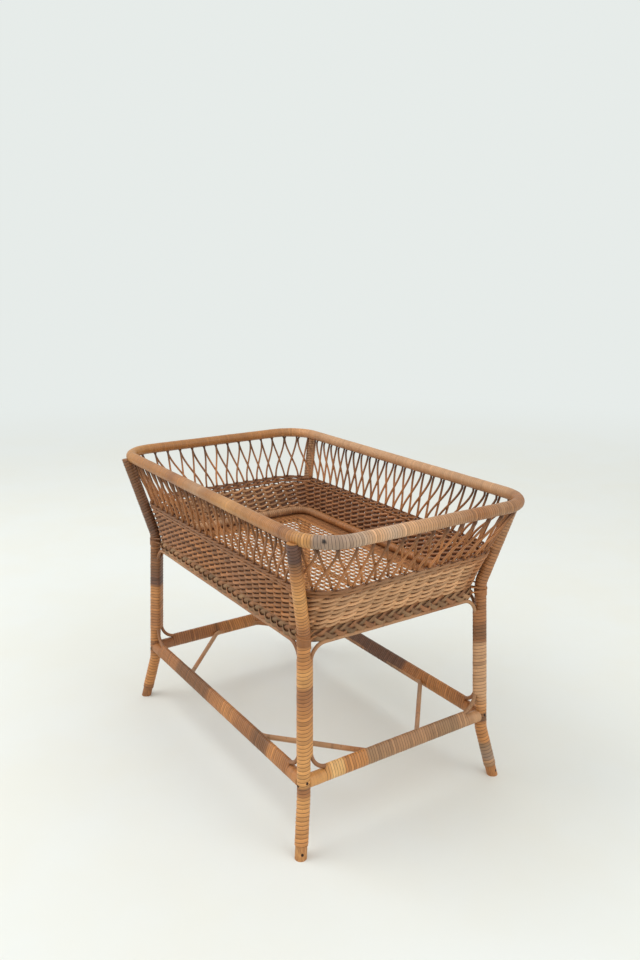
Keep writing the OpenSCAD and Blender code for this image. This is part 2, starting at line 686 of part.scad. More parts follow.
color(rod) quadrant(true, false) brace();  // brace_front_right
color(rod) quadrant(true, true) brace();  // brace_rear_right
color(rod) quadrant(false, true) brace();  // brace_rear_left
color(rod) quadrant(false, false) brace();  // brace_front_left
knee_lashing(true, false);  // knee_lashing_front_right
knee_lashing(true, true);  // knee_lashing_rear_right
knee_lashing(false, true);  // knee_lashing_rear_left
knee_lashing(false, false);  // knee_lashing_front_left
plaited_border();
woven_bottom();
base_ring_pole();
base_ring_binding();
woven_band();
twined_edging();
loops(-corner_first, corner_first - 1);  // lattice_right
loops(corner_first, corner_last - 1);  // lattice_rear_right
loops(corner_last, 2 * loops_q - corner_last - 1);  // lattice_rear
loops(2 * loops_q - corner_last, 2 * loops_q - corner_first - 1);  // lattice_rear_left
loops(2 * loops_q - corner_first, 2 * loops_q + corner_first - 1);  // lattice_left
loops(2 * loops_q + corner_first, 2 * loops_q + corner_last - 1);  // lattice_front_left
loops(2 * loops_q + corner_last, 4 * loops_q - corner_last - 1);  // lattice_front
loops(4 * loops_q - corner_last, 4 * loops_q - corner_first - 1);  // lattice_front_right
color(steel) stretcher_nail_set(0);  // stretcher_nails
color(steel) rim_nail_set(0);  // rim_nails
color(steel) all_quadrants() foot_nail(0);  // foot_nails
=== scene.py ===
"""An old rattan basket on legs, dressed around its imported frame.

Every size is in metres and every place is in the frame's own axes: the origin is on the
floor below the basket, X runs along it, the front is -Y and Z is up.
"""

import logging
import math
from dataclasses import dataclass, field
from enum import Enum
from typing import Callable, Optional, Sequence, Union

import bmesh
import bpy
import numpy as np
from mathutils import Euler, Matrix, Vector


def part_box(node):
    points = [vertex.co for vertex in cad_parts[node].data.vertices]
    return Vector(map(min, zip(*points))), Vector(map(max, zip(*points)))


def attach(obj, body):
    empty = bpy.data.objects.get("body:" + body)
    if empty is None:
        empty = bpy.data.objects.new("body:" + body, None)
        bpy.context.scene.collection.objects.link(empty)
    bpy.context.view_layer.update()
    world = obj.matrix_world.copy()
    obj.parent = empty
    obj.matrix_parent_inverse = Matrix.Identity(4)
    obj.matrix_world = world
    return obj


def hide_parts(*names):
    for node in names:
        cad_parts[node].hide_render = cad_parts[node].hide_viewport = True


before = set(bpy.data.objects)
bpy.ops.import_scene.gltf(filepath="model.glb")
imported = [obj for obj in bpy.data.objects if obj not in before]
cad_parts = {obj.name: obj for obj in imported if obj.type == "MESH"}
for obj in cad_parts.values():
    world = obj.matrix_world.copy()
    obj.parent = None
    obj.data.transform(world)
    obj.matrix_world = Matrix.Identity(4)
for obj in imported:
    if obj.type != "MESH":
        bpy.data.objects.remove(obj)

Array = np.ndarray
Feed = Union[float, bpy.types.NodeSocket]
TintRule = Callable[[Array], Array]
MM = 0.001
TURN = 2 * math.pi
log = logging.getLogger("basket")


class Tone(Enum):
    """Named colours of aged rattan and of the room, as screen values from 0 to 1."""

    STRAW = (0.86, 0.68, 0.44)
    HONEY = (0.80, 0.58, 0.34)
    AMBER = (0.74, 0.505, 0.285)
    TAN = (0.76, 0.585, 0.425)
    CLAY = (0.67, 0.505, 0.36)
    COPPER = (0.64, 0.425, 0.25)
    RUSSET = (0.575, 0.38, 0.225)
    CHESTNUT = (0.50, 0.335, 0.20)
    WALNUT = (0.42, 0.29, 0.21)
    UMBER = (0.31, 0.20, 0.14)
    PLUM = (0.40, 0.27, 0.215)
    STONE = (0.68, 0.57, 0.47)
    ASH = (0.61, 0.51, 0.43)
    REED = (0.79, 0.61, 0.44)
    BARK = (0.60, 0.415, 0.28)
    DUN = (0.60, 0.465, 0.335)
    SOOT = (0.13, 0.085, 0.06)
    RUST = (0.26, 0.15, 0.10)
    IRON = (0.20, 0.18, 0.17)
    FLOOR = (0.905, 0.918, 0.895)
    WALL = (0.905, 0.925, 0.915)

    def linear(self) -> Array:
        """The colour as the linear values that shaders read."""
        screen = np.array(self.value)
        return np.where(screen <= 0.04045, screen / 12.92, ((screen + 0.055) / 1.055) ** 2.4)


@dataclass(frozen=True)
class Stains:
    """Colours that change along one measure, from stop to stop."""

    stops: tuple[tuple[float, Tone], ...]

    def at(self, measure: Array) -> Array:
        """Colours at the given measures.

        Args:
            measure: Distances, heights or shares, of any shape.

        Returns:
            Linear colours with a last axis of three.
        """
        marks = [stop[0] for stop in self.stops]
        colours = np.array([stop[1].linear() for stop in self.stops])
        return np.stack([np.interp(measure, marks, colours[:, i]) for i in range(3)], -1)


def ripple(measure: Array, seed: int, step: float) -> Array:
    """Smooth, repeatable unevenness between -1 and 1 along a measure.

    Args:
        measure: Where to read it.
        seed: Which unevenness this is.
        step: Length of one swing.

    Returns:
        Values of the same shape as the measure.
    """
    table = np.random.default_rng(seed).uniform(-1, 1, 509)
    place = np.asarray(measure) / step
    low = np.floor(place).astype(int)
    share = place - low
    share = share * share * (3 - 2 * share)
    return table[low % 509] * (1 - share) + table[(low + 1) % 509] * share


def unit(rows: Array) -> Array:
    """The rows at length one."""
    return rows / np.maximum(np.linalg.norm(rows, axis=-1, keepdims=True), 1e-12)


def smooth(measure: Array, low: float, high: float) -> Array:
    """A soft step from 0 at low to 1 at high."""
    share = np.clip((np.asarray(measure) - low) / (high - low), 0, 1)
    return share * share * (3 - 2 * share)


@dataclass(frozen=True)
class Outline:
    """A round-cornered rectangle: half length, half width and corner radius.

    The way round starts in the middle of +X and runs anticlockwise.
    """

    half_x: Union[float, Array]
    half_y: Union[float, Array]
    corner: Union[float, Array]

    def quarter(self) -> Union[float, Array]:
        """Length of a quarter of the way round."""
        return self.half_x + self.half_y - 2 * self.corner + self.corner * math.pi / 2

    def inset(self, distance: float) -> "Outline":
        """The outline moved inward by a distance."""
        return Outline(self.half_x - distance, self.half_y - distance, self.corner - distance)

    def follow(self, share: Array, guide: Optional["Outline"] = None) -> tuple[Array, Array]:
        """Points of the outline that stand level with those of a guide.

        Args:
            share: Shares of the way round the guide.
            guide: The outline whose length is shared out, or this one.

        Returns:
            The points and the outward directions, each with a last axis of two.
        """
        guide = guide or self
        length = guide.quarter()
        way = np.mod(share, 1.0) * 4
        quarter = np.floor(way).astype(int) % 4
        rest = (way - np.floor(way)) * length
        rest = np.where(quarter % 2 == 0, rest, length - rest)
        side = guide.half_y - guide.corner
        bend = guide.corner * math.pi / 2
        turn = np.clip((rest - side) / guide.corner, 0, math.pi / 2)
        rise = np.clip(rest / side, 0, 1)
        back = np.clip((rest - side - bend) / (guide.half_x - guide.corner), 0, 1)
        x = (self.half_x - self.corner) * (1 - back) + self.corner * np.cos(turn)
        y = (self.half_y - self.corner) * rise + self.corner * np.sin(turn)
        sign_x = np.where((quarter == 0) | (quarter == 3), 1, -1)
        sign_y = np.where(quarter < 2, 1, -1)
        points = np.stack([sign_x * x, sign_y * y], -1)
        outward = np.stack([sign_x * np.cos(turn), sign_y * np.sin(turn)], -1)
        return points, outward


class Track:
    """A line in space that a strip is wound round, with axes across it at every point."""

    def __init__(self, spots: Array, up: Sequence[float], closed: bool = False) -> None:
        """Measures the line.

        Args:
            spots: Points of the line, close together in its bends.
            up: The direction that the first cross axis keeps to.
            closed: Whether the last point joins the first.
        """
        line = np.vstack([spots, spots[:1]]) if closed else np.asarray(spots, float)
        marks = np.concatenate([[0], np.cumsum(np.linalg.norm(np.diff(line, axis=0), axis=1))])
        self.length = float(marks[-1])
        self.closed = closed
        self.up = np.array(up, float)
        self.marks = np.linspace(0, self.length, max(int(self.length / 0.003), 8) + 1)
        self.spots = np.stack([np.interp(self.marks, marks, line[:, i]) for i in range(3)], -1)
        steps = unit(np.diff(self.spots, axis=0))
        first = steps[-1:] if closed else steps[:1]
        last = steps[:1] if closed else steps[-1:]
        self.ahead = unit(np.vstack([first, steps]) + np.vstack([steps, last]))

    def at(self, run: Array) -> tuple[Array, Array, Array]:
        """Points and cross axes at distances along the line.

        Args:
            run: The distances.

        Returns:
            The points, the up axes and the side axes.
        """
        run = np.mod(run, self.length) if self.closed else run
        spot = np.stack([np.interp(run, self.marks, self.spots[:, i]) for i in range(3)], -1)
        ahead = unit(np.stack([np.interp(run, self.marks, self.ahead[:, i]) for i in range(3)], -1))
        up = unit(self.up - (ahead @ self.up)[..., None] * ahead)
        return spot, up, np.cross(ahead, up)

    def spread(self, step: float) -> Array:
        """Evenly spaced points of the line, about a step apart."""
        count = max(int(round(self.length / step)), 2)
        return self.at(np.linspace(0, self.length, count + 1))[0]


def hoop(outline: Outline, z: float) -> Track:
    """A level closed track on an outline."""
    points, _ = outline.follow(np.arange(1600) / 1600)
    spots = np.column_stack([points, np.full(len(points), z)])
    return Track(spots, (0, 0, 1), closed=True)


def bent(corners: Sequence[Sequence[float]], radii: Sequence[float]) -> Array:
    """A line through corners that are rounded to bend radii.

    Args:
        corners: The corners, the two ends among them.
        radii: The bend radius of each corner between the ends.

    Returns:
        Points along the line.
    """
    points = [np.array(corner, float) for corner in corners]
    line = [points[0]]
    for before, here, after, radius in zip(points, points[1:], points[2:], radii):
        into = unit(here - before)
        out = unit(after - here)
        turn = math.acos(float(np.clip(into @ out, -1, 1)))
        middle = here + unit(out - into) * radius / math.cos(turn / 2)
        start = here - into * radius * math.tan(turn / 2)
        arm = start - middle
        for angle in np.linspace(0, turn, max(int(turn / 0.06), 3)):
            line.append(middle + arm * math.cos(angle) + into * radius * math.sin(angle))
    line.append(points[-1])
    return np.array(line)


def flowing(keys: Array, steps: int) -> Array:
    """A smooth line through key rows of any width.

    Args:
        keys: The rows to pass through.
        steps: Rows made between two keys.

    Returns:
        The rows of the line.
    """
    padded = np.vstack([2 * keys[:1] - keys[1:2], keys, 2 * keys[-1:] - keys[-2:-1]])
    rows = []
    for i in range(len(keys) - 1):
        a, b, c, d = padded[i:i + 4]
        for share in np.arange(steps) / steps:
            rows.append(0.5 * (2 * b + (c - a) * share + (2 * a - 5 * b + 4 * c - d) * share ** 2
                               + (3 * b - a - 3 * c + d) * share ** 3))
    rows.append(keys[-1])
    return np.array(rows)


class Piece:
    """A mesh in the making: flat grids that are rolled into tubes and welded shut."""

    def __init__(self, name: str) -> None:
        """Starts an empty mesh with the layers that the finishes read."""
        self.name = name
        self.mesh = bmesh.new()
        self.mesh.loops.layers.uv.new("UVMap")
        self.tint = self.mesh.verts.layers.float_color.new("tint")
        self.run = self.mesh.verts.layers.float.new("run")
        self.tone = self.mesh.verts.layers.float.new("tone")
        self.turns: Optional[Array] = None

    def roll(self, spots: Array, run: Array, tint: Array, tone: Union[float, Array]) -> None:
        """Lays a grid over a table of points.

        Args:
            spots: Points, row by row along the tube and column by column round it.
            run: Distance along the tube of each point.
            tint: Linear colour of each point.
            tone: A number from 0 to 1, of the strand or of each point.
        """
        rows, columns = spots.shape[:2]
        made = bmesh.ops.create_grid(self.mesh, x_segments=columns - 1, y_segments=rows - 1,
                                     size=0.5, calc_uvs=True)
        run = np.broadcast_to(run, (rows, columns)).ravel().tolist()
        tint = np.broadcast_to(tint, (rows, columns, 3)).reshape(-1, 3).tolist()
        tone = np.broadcast_to(tone, (rows, columns)).ravel().tolist()
        spots = spots.reshape(-1, 3).tolist()
        for vert, spot, way, colour, own in zip(made["verts"], spots, run, tint, tone):
            vert.co = spot
            vert[self.run] = way
            vert[self.tint] = (*colour, 1.0)
            vert[self.tone] = own

    def strand(self, spots: Array, up: Array, high: Union[float, Array],
               wide: Union[float, Array], sides: int, tint: Array, tone: float,
               closed: bool = False) -> None:
        """Sweeps an oval along a line of points.

        Args:
            spots: The points. A closed line doesn't repeat its first.
            up: Direction of the oval's first radius, for the line or for each point.
            high: The oval's radius along up.
            wide: The oval's radius across up.
            sides: Flat sides of the oval.
            tint: Linear colour of the strand or of each point.
            tone: A number from 0 to 1 that sets this strand apart.
            closed: Whether the line joins up.
        """
        if closed:
            ahead = unit(np.roll(spots, -1, 0) - np.roll(spots, 1, 0))
        else:
            ahead = unit(np.gradient(spots, axis=0))
        up = np.broadcast_to(up, spots.shape)
        up = unit(up - (up * ahead).sum(1, keepdims=True) * ahead)
        side = np.cross(ahead, up)
        high = np.broadcast_to(high, len(spots))[:, None, None]
        wide = np.broadcast_to(wide, len(spots))[:, None, None]
        angle = np.linspace(0, TURN, sides + 1)[None, :, None]
        rings = spots[:, None] + high * np.cos(angle) * up[:, None]
        rings = rings + wide * np.sin(angle) * side[:, None]
        tint = np.broadcast_to(tint, spots.shape)[:, None]
        run = np.concatenate([[0], np.cumsum(np.linalg.norm(np.diff(spots, axis=0), axis=1))])
        if closed:
            rings = np.concatenate([rings, rings[:1]])
            tint = np.concatenate([tint, tint[:1]])
            run = np.append(run, run[-1] + float(np.linalg.norm(spots[0] - spots[-1])))
        self.roll(rings, run[:, None], np.repeat(tint, sides + 1, 1), tone)

    def trim(self, z: float) -> None:
        """Cuts away what stands above a level."""
        parts = list(self.mesh.verts) + list(self.mesh.edges) + list(self.mesh.faces)
        bmesh.ops.bisect_plane(self.mesh, geom=parts, plane_co=(0, 0, z), plane_no=(0, 0, 1),
                               clear_outer=True)

    def weld(self) -> None:
        """Joins the seams and dissolves edges and faces of no size."""
        bmesh.ops.remove_doubles(self.mesh, verts=self.mesh.verts, dist=2e-6)
        bmesh.ops.dissolve_degenerate(self.mesh, dist=1e-7, edges=self.mesh.edges)

    def place(self, material: bpy.types.Material, slot: str, *nodes: str) -> bpy.types.Object:
        """Turns the mesh into an object of the basket.

        Args:
            material: Its finish.
            slot: The record's slot for that finish; not used.
            nodes: The CAD nodes that it stands for.

        Returns:
            The object.
        """
        open_edges = [edge for edge in self.mesh.edges if edge.is_boundary]
        if open_edges:
            bmesh.ops.holes_fill(self.mesh, edges=open_edges, sides=0)
        bmesh.ops.recalc_face_normals(self.mesh, faces=self.mesh.faces)
        data = bpy.data.meshes.new(self.name)
        self.mesh.to_mesh(data)
        self.mesh.free()
        data.polygons.foreach_set("use_smooth", np.ones(len(data.polygons), bool))
        if self.turns is not None:
            layer = data.uv_layers[0].uv
            flat = np.empty(len(layer) * 2, np.float32)
            layer.foreach_get("vector", flat)
            rows = np.arange(len(self.turns))
            flat[1::2] = np.interp(flat[1::2] * (len(self.turns) - 1), rows, self.turns)
            layer.foreach_set("vector", flat)
        data.materials.append(material)
        made = bpy.data.objects.new(self.name, data)
        bpy.context.scene.collection.objects.link(made)
        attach(made, "root")
        if nodes:
            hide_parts(*nodes)
        log.info("%s: %d faces", self.name, len(data.polygons))
        return made


@dataclass(frozen=True)
class Bundle:
    """Round bars side by side, each with its place along up and side and its radius."""

    bars: tuple[tuple[float, float, float], ...]

    def reach(self, angle: Array) -> Array:
        """How far out a strip runs that is drawn tight round the bars.

        Args:
            angle: Angles from the up axis, in one row.

        Returns:
            The distance from the first axis at each angle.
        """
        look = np.linspace(0, TURN, 720, endpoint=False)
        support = np.max([up * np.cos(look) + side * np.sin(look) + radius
                          for up, side, radius in self.bars], axis=0)
        lean = np.cos(angle[:, None] - look[None, :])
        return np.where(lean > 0.05, support / np.maximum(lean, 0.05), 9.0).min(1)


@dataclass(frozen=True)
class Stretch:
    """A part of a track where the strip goes round more than the bare pole."""

    low: float
    high: float
    bundle: Bundle
    fade: float = 6 * MM

    def weight(self, run: Array) -> Array:
        """1 inside the stretch and 0 outside, softly."""
        inside = smooth(run, self.low - self.fade, self.low)
        return inside * (1 - smooth(run, self.high, self.high + self.fade))


@dataclass
class Winding:
    """A flat cane strip wound turn beside turn round a track."""

    track: Track
    radius: float
    strip: float
    start: float = 0.0
    end: Optional[float] = None
    stretches: tuple[Stretch, ...] = ()
    columns: int = 20
    groove: float = 0.75 * MM
    wobble: float = 0.22 * MM
    crispness: tuple[tuple[float, float], ...] = ((0.0, 1.0), (1.0, 1.0))
    profile: tuple[tuple[float, float], ...] = ((0.0, 1.0), (0.14, 0.16), (0.5, 0.0), (0.86, 0.16))

    def roll(self, name: str, tint: Callable[[Array, Array], Array]) -> Piece:
        """Winds the strip.

        Args:
            name: Name of the piece.
            tint: Gives linear colours from distances along the track and points.

        Returns:
            The welded piece, ready to be placed.
        """
        piece = Piece(name)
        end = self.track.length if self.end is None else self.end
        turns = max(int(round((end - self.start) / self.strip)), 2)
        pitch = (end - self.start) / turns
        first = 0 if self.track.closed else -1
        marks = [(k + phase, deep) for k in range(first, turns) for phase, deep in self.profile]
        marks.append((float(turns), self.profile[0][1]))
        turn = np.array([mark[0] for mark in marks])[:, None]
        deep = np.array([mark[1] for mark in marks])[:, None] * self.groove
        angle = np.linspace(0, TURN, self.columns + 1)
        raw = self.start + pitch * (turn + angle[None, :] / TURN)
        run = raw if self.track.closed else np.clip(raw, self.start, end)
        way = np.mod(run, self.track.length + 1e-9)
        shares, values = zip(*self.crispness)
        crisp = np.interp(way / self.track.length, shares, values)
        deep = np.where(np.abs(raw - run) > 1e-9, 0.0, deep * crisp)
        reach = np.full(raw.shape, self.radius)
        for stretch in self.stretches:
            share = stretch.weight(run)
            reach = reach * (1 - share) + stretch.bundle.reach(angle)[None, :] * share
        whole = run * TURN / self.track.length
        swing = np.sin(whole * 17 + angle) + np.sin(whole * 41 + 2) + np.sin(whole * 83 - angle * 2)
        reach = reach - deep + self.wobble * swing / 3
        spot, up, side = self.track.at(run.ravel())
        flat = np.tile(angle, len(turn))[:, None]
        spots = spot + reach.ravel()[:, None] * (np.cos(flat) * up + np.sin(flat) * side)
        colours = tint(way.ravel(), spots)
        shape = (*raw.shape, 3)
        piece.roll(spots.reshape(shape), run, colours.reshape(shape), crisp)
        piece.turns = turn.ravel() + (0 if self.track.closed else 1)
        piece.weld()
        return piece


class Recipe:
    """A material's node tree, built one plain step at a time."""

    def __init__(self, name: str) -> None:
        """Starts a material with its standard shader."""
        self.material = bpy.data.materials.new(name)
        self.material.use_nodes = True
        self.tree = self.material.node_tree
        self.shader = self.tree.nodes["Principled BSDF"]

    def node(self, kind: str, **settings: Union[str, float, bool]) -> bpy.types.Node:
        """Adds a node and sets its options."""
        made = self.tree.nodes.new(kind)
        for name, value in settings.items():
            setattr(made, name, value)
        return made

    def feed(self, socket: bpy.types.NodeSocket, value: Feed) -> None:
        """Links a socket to another one, or sets its value."""
        if isinstance(value, bpy.types.NodeSocket):
            self.tree.links.new(value, socket)
        else:
            socket.default_value = value

    def math(self, operation: str, first: Feed, second: Feed = 0.0) -> bpy.types.NodeSocket:
        """One step of arithmetic."""
        made = self.node("ShaderNodeMath", operation=operation)
        self.feed(made.inputs[0], first)
        self.feed(made.inputs[1], second)
        return made.outputs[0]

    def blend(self, value: Feed, low: float, high: float) -> bpy.types.NodeSocket:
        """A value between 0 and 1 turned into one between low and high."""
        return self.math("ADD", self.math("MULTIPLY", value, high - low), low)

    def band(self, value: Feed, low: float, high: float) -> bpy.types.NodeSocket:
        """A soft step from 0 at low to 1 at high."""
        made = self.node("ShaderNodeMapRange", interpolation_type="SMOOTHSTEP")
        self.feed(made.inputs["Value"], value)
        made.inputs["From Min"].default_value = low
        made.inputs["From Max"].default_value = high
        return made.outputs[0]

    def vector(self, x: Feed, y: Feed, z: Feed) -> bpy.types.NodeSocket:
        """Three values as one."""
        made = self.node("ShaderNodeCombineXYZ")
        for socket, value in zip(made.inputs, (x, y, z)):
            self.feed(socket, value)
        return made.outputs[0]

    def spot(self) -> bpy.types.NodeSocket:
        """The point on the object, in the object's own metres."""
        return self.node("ShaderNodeTexCoord").outputs["Object"]

    def across_and_turn(self) -> tuple[bpy.types.NodeSocket, bpy.types.NodeSocket]:
        """The two values of the piece's own map."""
        split = self.node("ShaderNodeSeparateXYZ")
        self.feed(split.inputs[0], self.node("ShaderNodeTexCoord").outputs["UV"])
        return split.outputs[0], split.outputs[1]

    def layer(self, name: str, colour: bool = False) -> bpy.types.NodeSocket:
        """A layer that the piece carries on its points."""
        made = self.node("ShaderNodeAttribute", attribute_name=name)
        return made.outputs["Color" if colour else "Fac"]

    def noise(self, spot: Feed, scale: float, detail: float = 2.0,
              rough: float = 0.5) -> bpy.types.NodeSocket:
        """Cloudy noise in space, from 0 to 1."""
        made = self.node("ShaderNodeTexNoise")
        self.feed(made.inputs["Vector"], spot)
        made.inputs["Scale"].default_value = scale
        made.inputs["Detail"].default_value = detail
        made.inputs["Roughness"].default_value = rough
        return made.outputs[0]

    def noise_along(self, run: Feed, scale: float, detail: float = 0.0) -> bpy.types.NodeSocket:
        """Noise along one measure, from 0 to 1."""
        made = self.node("ShaderNodeTexNoise", noise_dimensions="1D")
        self.feed(made.inputs["W"], run)
        made.inputs["Scale"].default_value = scale
        made.inputs["Detail"].default_value = detail
        return made.outputs[0]

    def scaled(self, colour: Feed, light: Feed) -> bpy.types.NodeSocket:
        """A colour made lighter or darker."""
        made = self.node("ShaderNodeVectorMath", operation="SCALE")
        self.feed(made.inputs[0], colour)
        self.feed(made.inputs["Scale"], light)
        return made.outputs[0]

    def mixed(self, share: Feed, first: Feed, second: Feed) -> bpy.types.NodeSocket:
        """Two colours mixed by a share."""
        made = self.node("ShaderNodeMix", data_type="RGBA")
        self.feed(made.inputs[0], share)
        self.feed(made.inputs[6], first)
        self.feed(made.inputs[7], second)
        return made.outputs[2]

    def ends(self, colour: Feed, rough: Feed, height: Feed, depth: float,
             coat: float = 0.0, specular: float = 0.5) -> bpy.types.Material:
        """Wires the shader.

        Args:
            colour: Base colour.
            rough: Roughness.
            height: Relief from 0 to 1.
            depth: Depth of the relief in metres.
            coat: Weight of a clear coat.
            specular: Specular level.

        Returns:
            The finished material.
        """
        bump = self.node("ShaderNodeBump")
        bump.inputs["Strength"].default_value = 0.8
        bump.inputs["Distance"].default_value = depth
        self.feed(bump.inputs["Height"], height)
        self.feed(self.shader.inputs["Normal"], bump.outputs[0])
        self.feed(self.shader.inputs["Base Color"], colour)
        self.feed(self.shader.inputs["Roughness"], rough)
        self.shader.inputs["Coat Weight"].default_value = coat
        self.shader.inputs["Coat Roughness"].default_value = 0.28
        self.shader.inputs["Specular IOR Level"].default_value = specular
        return self.material


def paint(tone: Tone) -> tuple[float, float, float, float]:
    """A tone as a colour socket takes it."""
    return (*tone.linear().tolist(), 1.0)


@dataclass(frozen=True)
class CaneFinish:
    """Glossy old cane in strips: each turn has its own tone and fine fibres; the grooves get painted shade
    and the strip edges a lighter band, partly the skin's own colour and partly a painted highlight.
    """

    name: str
    strip_contrast: float = 0.28
    block_contrast: float = 0.18
    # Strength of the lighter strip edges, partly the skin's own colour and partly a painted highlight.
    edge_highlight: float = 0.12
    wear_and_shade: float = 0.25
    # Brightness kept in the grooves, which are darkened as painted shade.
    groove_shade: float = 0.42
    roughness: float = 0.40

    def build(self) -> bpy.types.Material:
        """The material."""
        r = Recipe(self.name)
        across, turn = r.across_and_turn()
        strip = r.math("ADD", r.math("FLOOR", turn), across)
        phase = r.math("FRACT", turn)
        edge = r.math("MULTIPLY", r.math("MINIMUM", phase, r.math("SUBTRACT", 1.0, phase)), 2.0)
        groove = r.band(edge, 0.03, 0.32)
        fall = r.math("SUBTRACT", 1.0, r.band(edge, 0.45, 0.75))
        # Lip: a thin band along each strip edge that is lightened, partly the skin's own colour and partly a
        # painted highlight.
        lip = r.math("MULTIPLY", r.band(edge, 0.22, 0.40), fall)
        crisp = r.layer("tone")
        fibre_spot = r.vector(r.math("MULTIPLY", phase, 7.0), r.math("MULTIPLY", strip, 1.4), 0.0)
        fibre = r.noise(fibre_spot, 1.6, 3.0, 0.6)
        own = r.noise_along(strip, 0.83)
        block = r.noise_along(turn, 0.07, 1.0)
        cloud = r.noise(r.spot(), 26.0, 3.0, 0.6)
        speck = r.noise(r.spot(), 240.0, 2.0, 0.6)
        own = r.math("MULTIPLY", r.blend(own, -self.strip_contrast, self.strip_contrast),
                     r.blend(crisp, 0.3, 1.0))
        light = r.math("ADD", r.math("ADD", own, 1.0),
                       r.blend(block, -self.block_contrast, self.block_contrast))
        light = r.math("ADD", light, r.blend(fibre, -0.14, 0.14))
        # The lighter edge band: partly the skin's own colour, partly a painted highlight.
        light = r.math("ADD", light, r.math("MULTIPLY", r.math("MULTIPLY", lip, crisp), self.edge_highlight))
        base = r.scaled(r.layer("tint", colour=True), light)
        worn_and_shaded = r.math("MULTIPLY", r.band(cloud, 0.52, 0.72), self.wear_and_shade)
        base = r.mixed(worn_and_shaded, base, paint(Tone.CHESTNUT))
        spots = r.math("MULTIPLY", r.band(speck, 0.62, 0.74), 0.35)
        base = r.mixed(spots, base, paint(Tone.WALNUT))
        # Painted shade: the grooves between the strips are darkened in the colour.
        shade = r.math("MULTIPLY", r.math("SUBTRACT", 1.0, groove), r.blend(crisp, 0.05, 1.0))
        base = r.mixed(shade, base, r.scaled(base, self.groove_shade))
        rough = r.blend(cloud, self.roughness - 0.06, self.roughness + 0.16)
        height = r.math("ADD", r.math("MULTIPLY", groove, 0.7), r.math("MULTIPLY", fibre, 0.3))
        return r.ends(base, rough, height, 0.5 * MM, coat=0.07, specular=0.4)


@dataclass(frozen=True)
class StrandFinish:
    """Round reed or rod: fibres along it, blotches, specks and, on rods, dark growth rings."""

    name: str
    blotch: float = 0.30
    fibre: float = 0.22
    specks: float = 0.4
    rings_per_metre: float = 0.0
    roughness: float = 0.48
    coat: float = 0.06

    def build(self) -> bpy.types.Material:
        """The material."""
        r = Recipe(self.name)
        across, _ = r.across_and_turn()
        run = r.layer("run")
        tone = r.layer("tone")
        apart = r.math("MULTIPLY", tone, 37.0)
        fine = r.vector(r.math("MULTIPLY", across, 9.0), r.math("MULTIPLY", run, 28.0), apart)
        fibre = r.noise(fine, 1.0, 3.0, 0.65)
        blotch = r.noise(r.vector(across, r.math("MULTIPLY", run, 15.0), apart), 1.0, 2.0)
        dots = r.vector(r.math("MULTIPLY", across, 4.0), r.math("MULTIPLY", run, 300.0), apart)
        speck = r.noise(dots, 1.0, 1.0)
        light = r.blend(blotch, 1 - self.blotch, 1 + self.blotch)
        light = r.math("ADD", light, r.blend(tone, -0.16, 0.16))
        light = r.math("ADD", light, r.blend(fibre, -self.fibre, self.fibre))
        base = r.scaled(r.layer("tint", colour=True), light)
        spots = r.math("MULTIPLY", r.band(speck, 0.60, 0.76), self.specks)
        base = r.mixed(spots, base, paint(Tone.UMBER))
        height = fibre
        if self.rings_per_metre:
            rings = r.node("ShaderNodeTexVoronoi", voronoi_dimensions="1D", feature="F1")
            place = r.math("MULTIPLY", run, self.rings_per_metre)
            r.feed(rings.inputs["W"], r.math("ADD", place, apart))
            rings.inputs["Scale"].default_value = 1.0
            ring = r.math("SUBTRACT", 1.0, r.band(rings.outputs["Distance"], 0.012, 0.035))
            base = r.mixed(r.math("MULTIPLY", ring, 0.3), base, paint(Tone.UMBER))
            height = r.math("ADD", r.math("MULTIPLY", fibre, 0.5), r.math("MULTIPLY", ring, 0.8))
        rough = r.blend(blotch, self.roughness - 0.08, self.roughness + 0.14)
        return r.ends(base, rough, height, 0.25 * MM, coat=self.coat, specular=0.35)


@dataclass(frozen=True)
class PoleFinish:
    """Bare pole where the binding leaves it open: long grain, cloudy tone and pores."""

    name: str
    light: Tone
    dark: Tone

    def build(self) -> bpy.types.Material:
        """The material."""
        r = Recipe(self.name)
        stretched = r.node("ShaderNodeMapping")
        r.feed(stretched.inputs["Vector"], r.spot())
        stretched.inputs["Scale"].default_value = (1.0, 1.0, 0.12)
        grain = r.noise(stretched.outputs[0], 420.0, 3.0, 0.6)
        cloud = r.noise(r.spot(), 45.0, 2.0)
        pores = r.noise(r.spot(), 900.0, 1.0)
        base = r.mixed(r.band(grain, 0.3, 0.7), paint(self.dark), paint(self.light))
        base = r.scaled(base, r.blend(cloud, 0.7, 1.25))
        base = r.mixed(r.math("MULTIPLY", r.band(pores, 0.6, 0.75), 0.5), base, paint(Tone.UMBER))
        return r.ends(base, r.blend(cloud, 0.45, 0.7), grain, 0.3 * MM)


@dataclass(frozen=True)
class NailFinish:
    """Old iron nails, dark and rusted."""

    name: str

    def build(self) -> bpy.types.Material:
        """The material."""
        r = Recipe(self.name)
        cloud = r.noise(r.spot(), 700.0, 3.0, 0.7)
        pits = r.noise(r.spot(), 2400.0, 2.0)
        base = r.mixed(r.band(cloud, 0.4, 0.6), paint(Tone.IRON), paint(Tone.RUST))
        r.shader.inputs["Metallic"].default_value = 0.55
        return r.ends(base, r.blend(cloud, 0.45, 0.85), pits, 0.15 * MM)


class Corner(Enum):
    """The four corners of the frame, as signs along X and Y."""

    FRONT_RIGHT = (1, -1)
    REAR_RIGHT = (1, 1)
    REAR_LEFT = (-1, 1)
    FRONT_LEFT = (-1, -1)

    def node(self, stem: str) -> str:
        """Name of this corner's node of a family."""
        return f"{stem}_{self.name.lower()}"


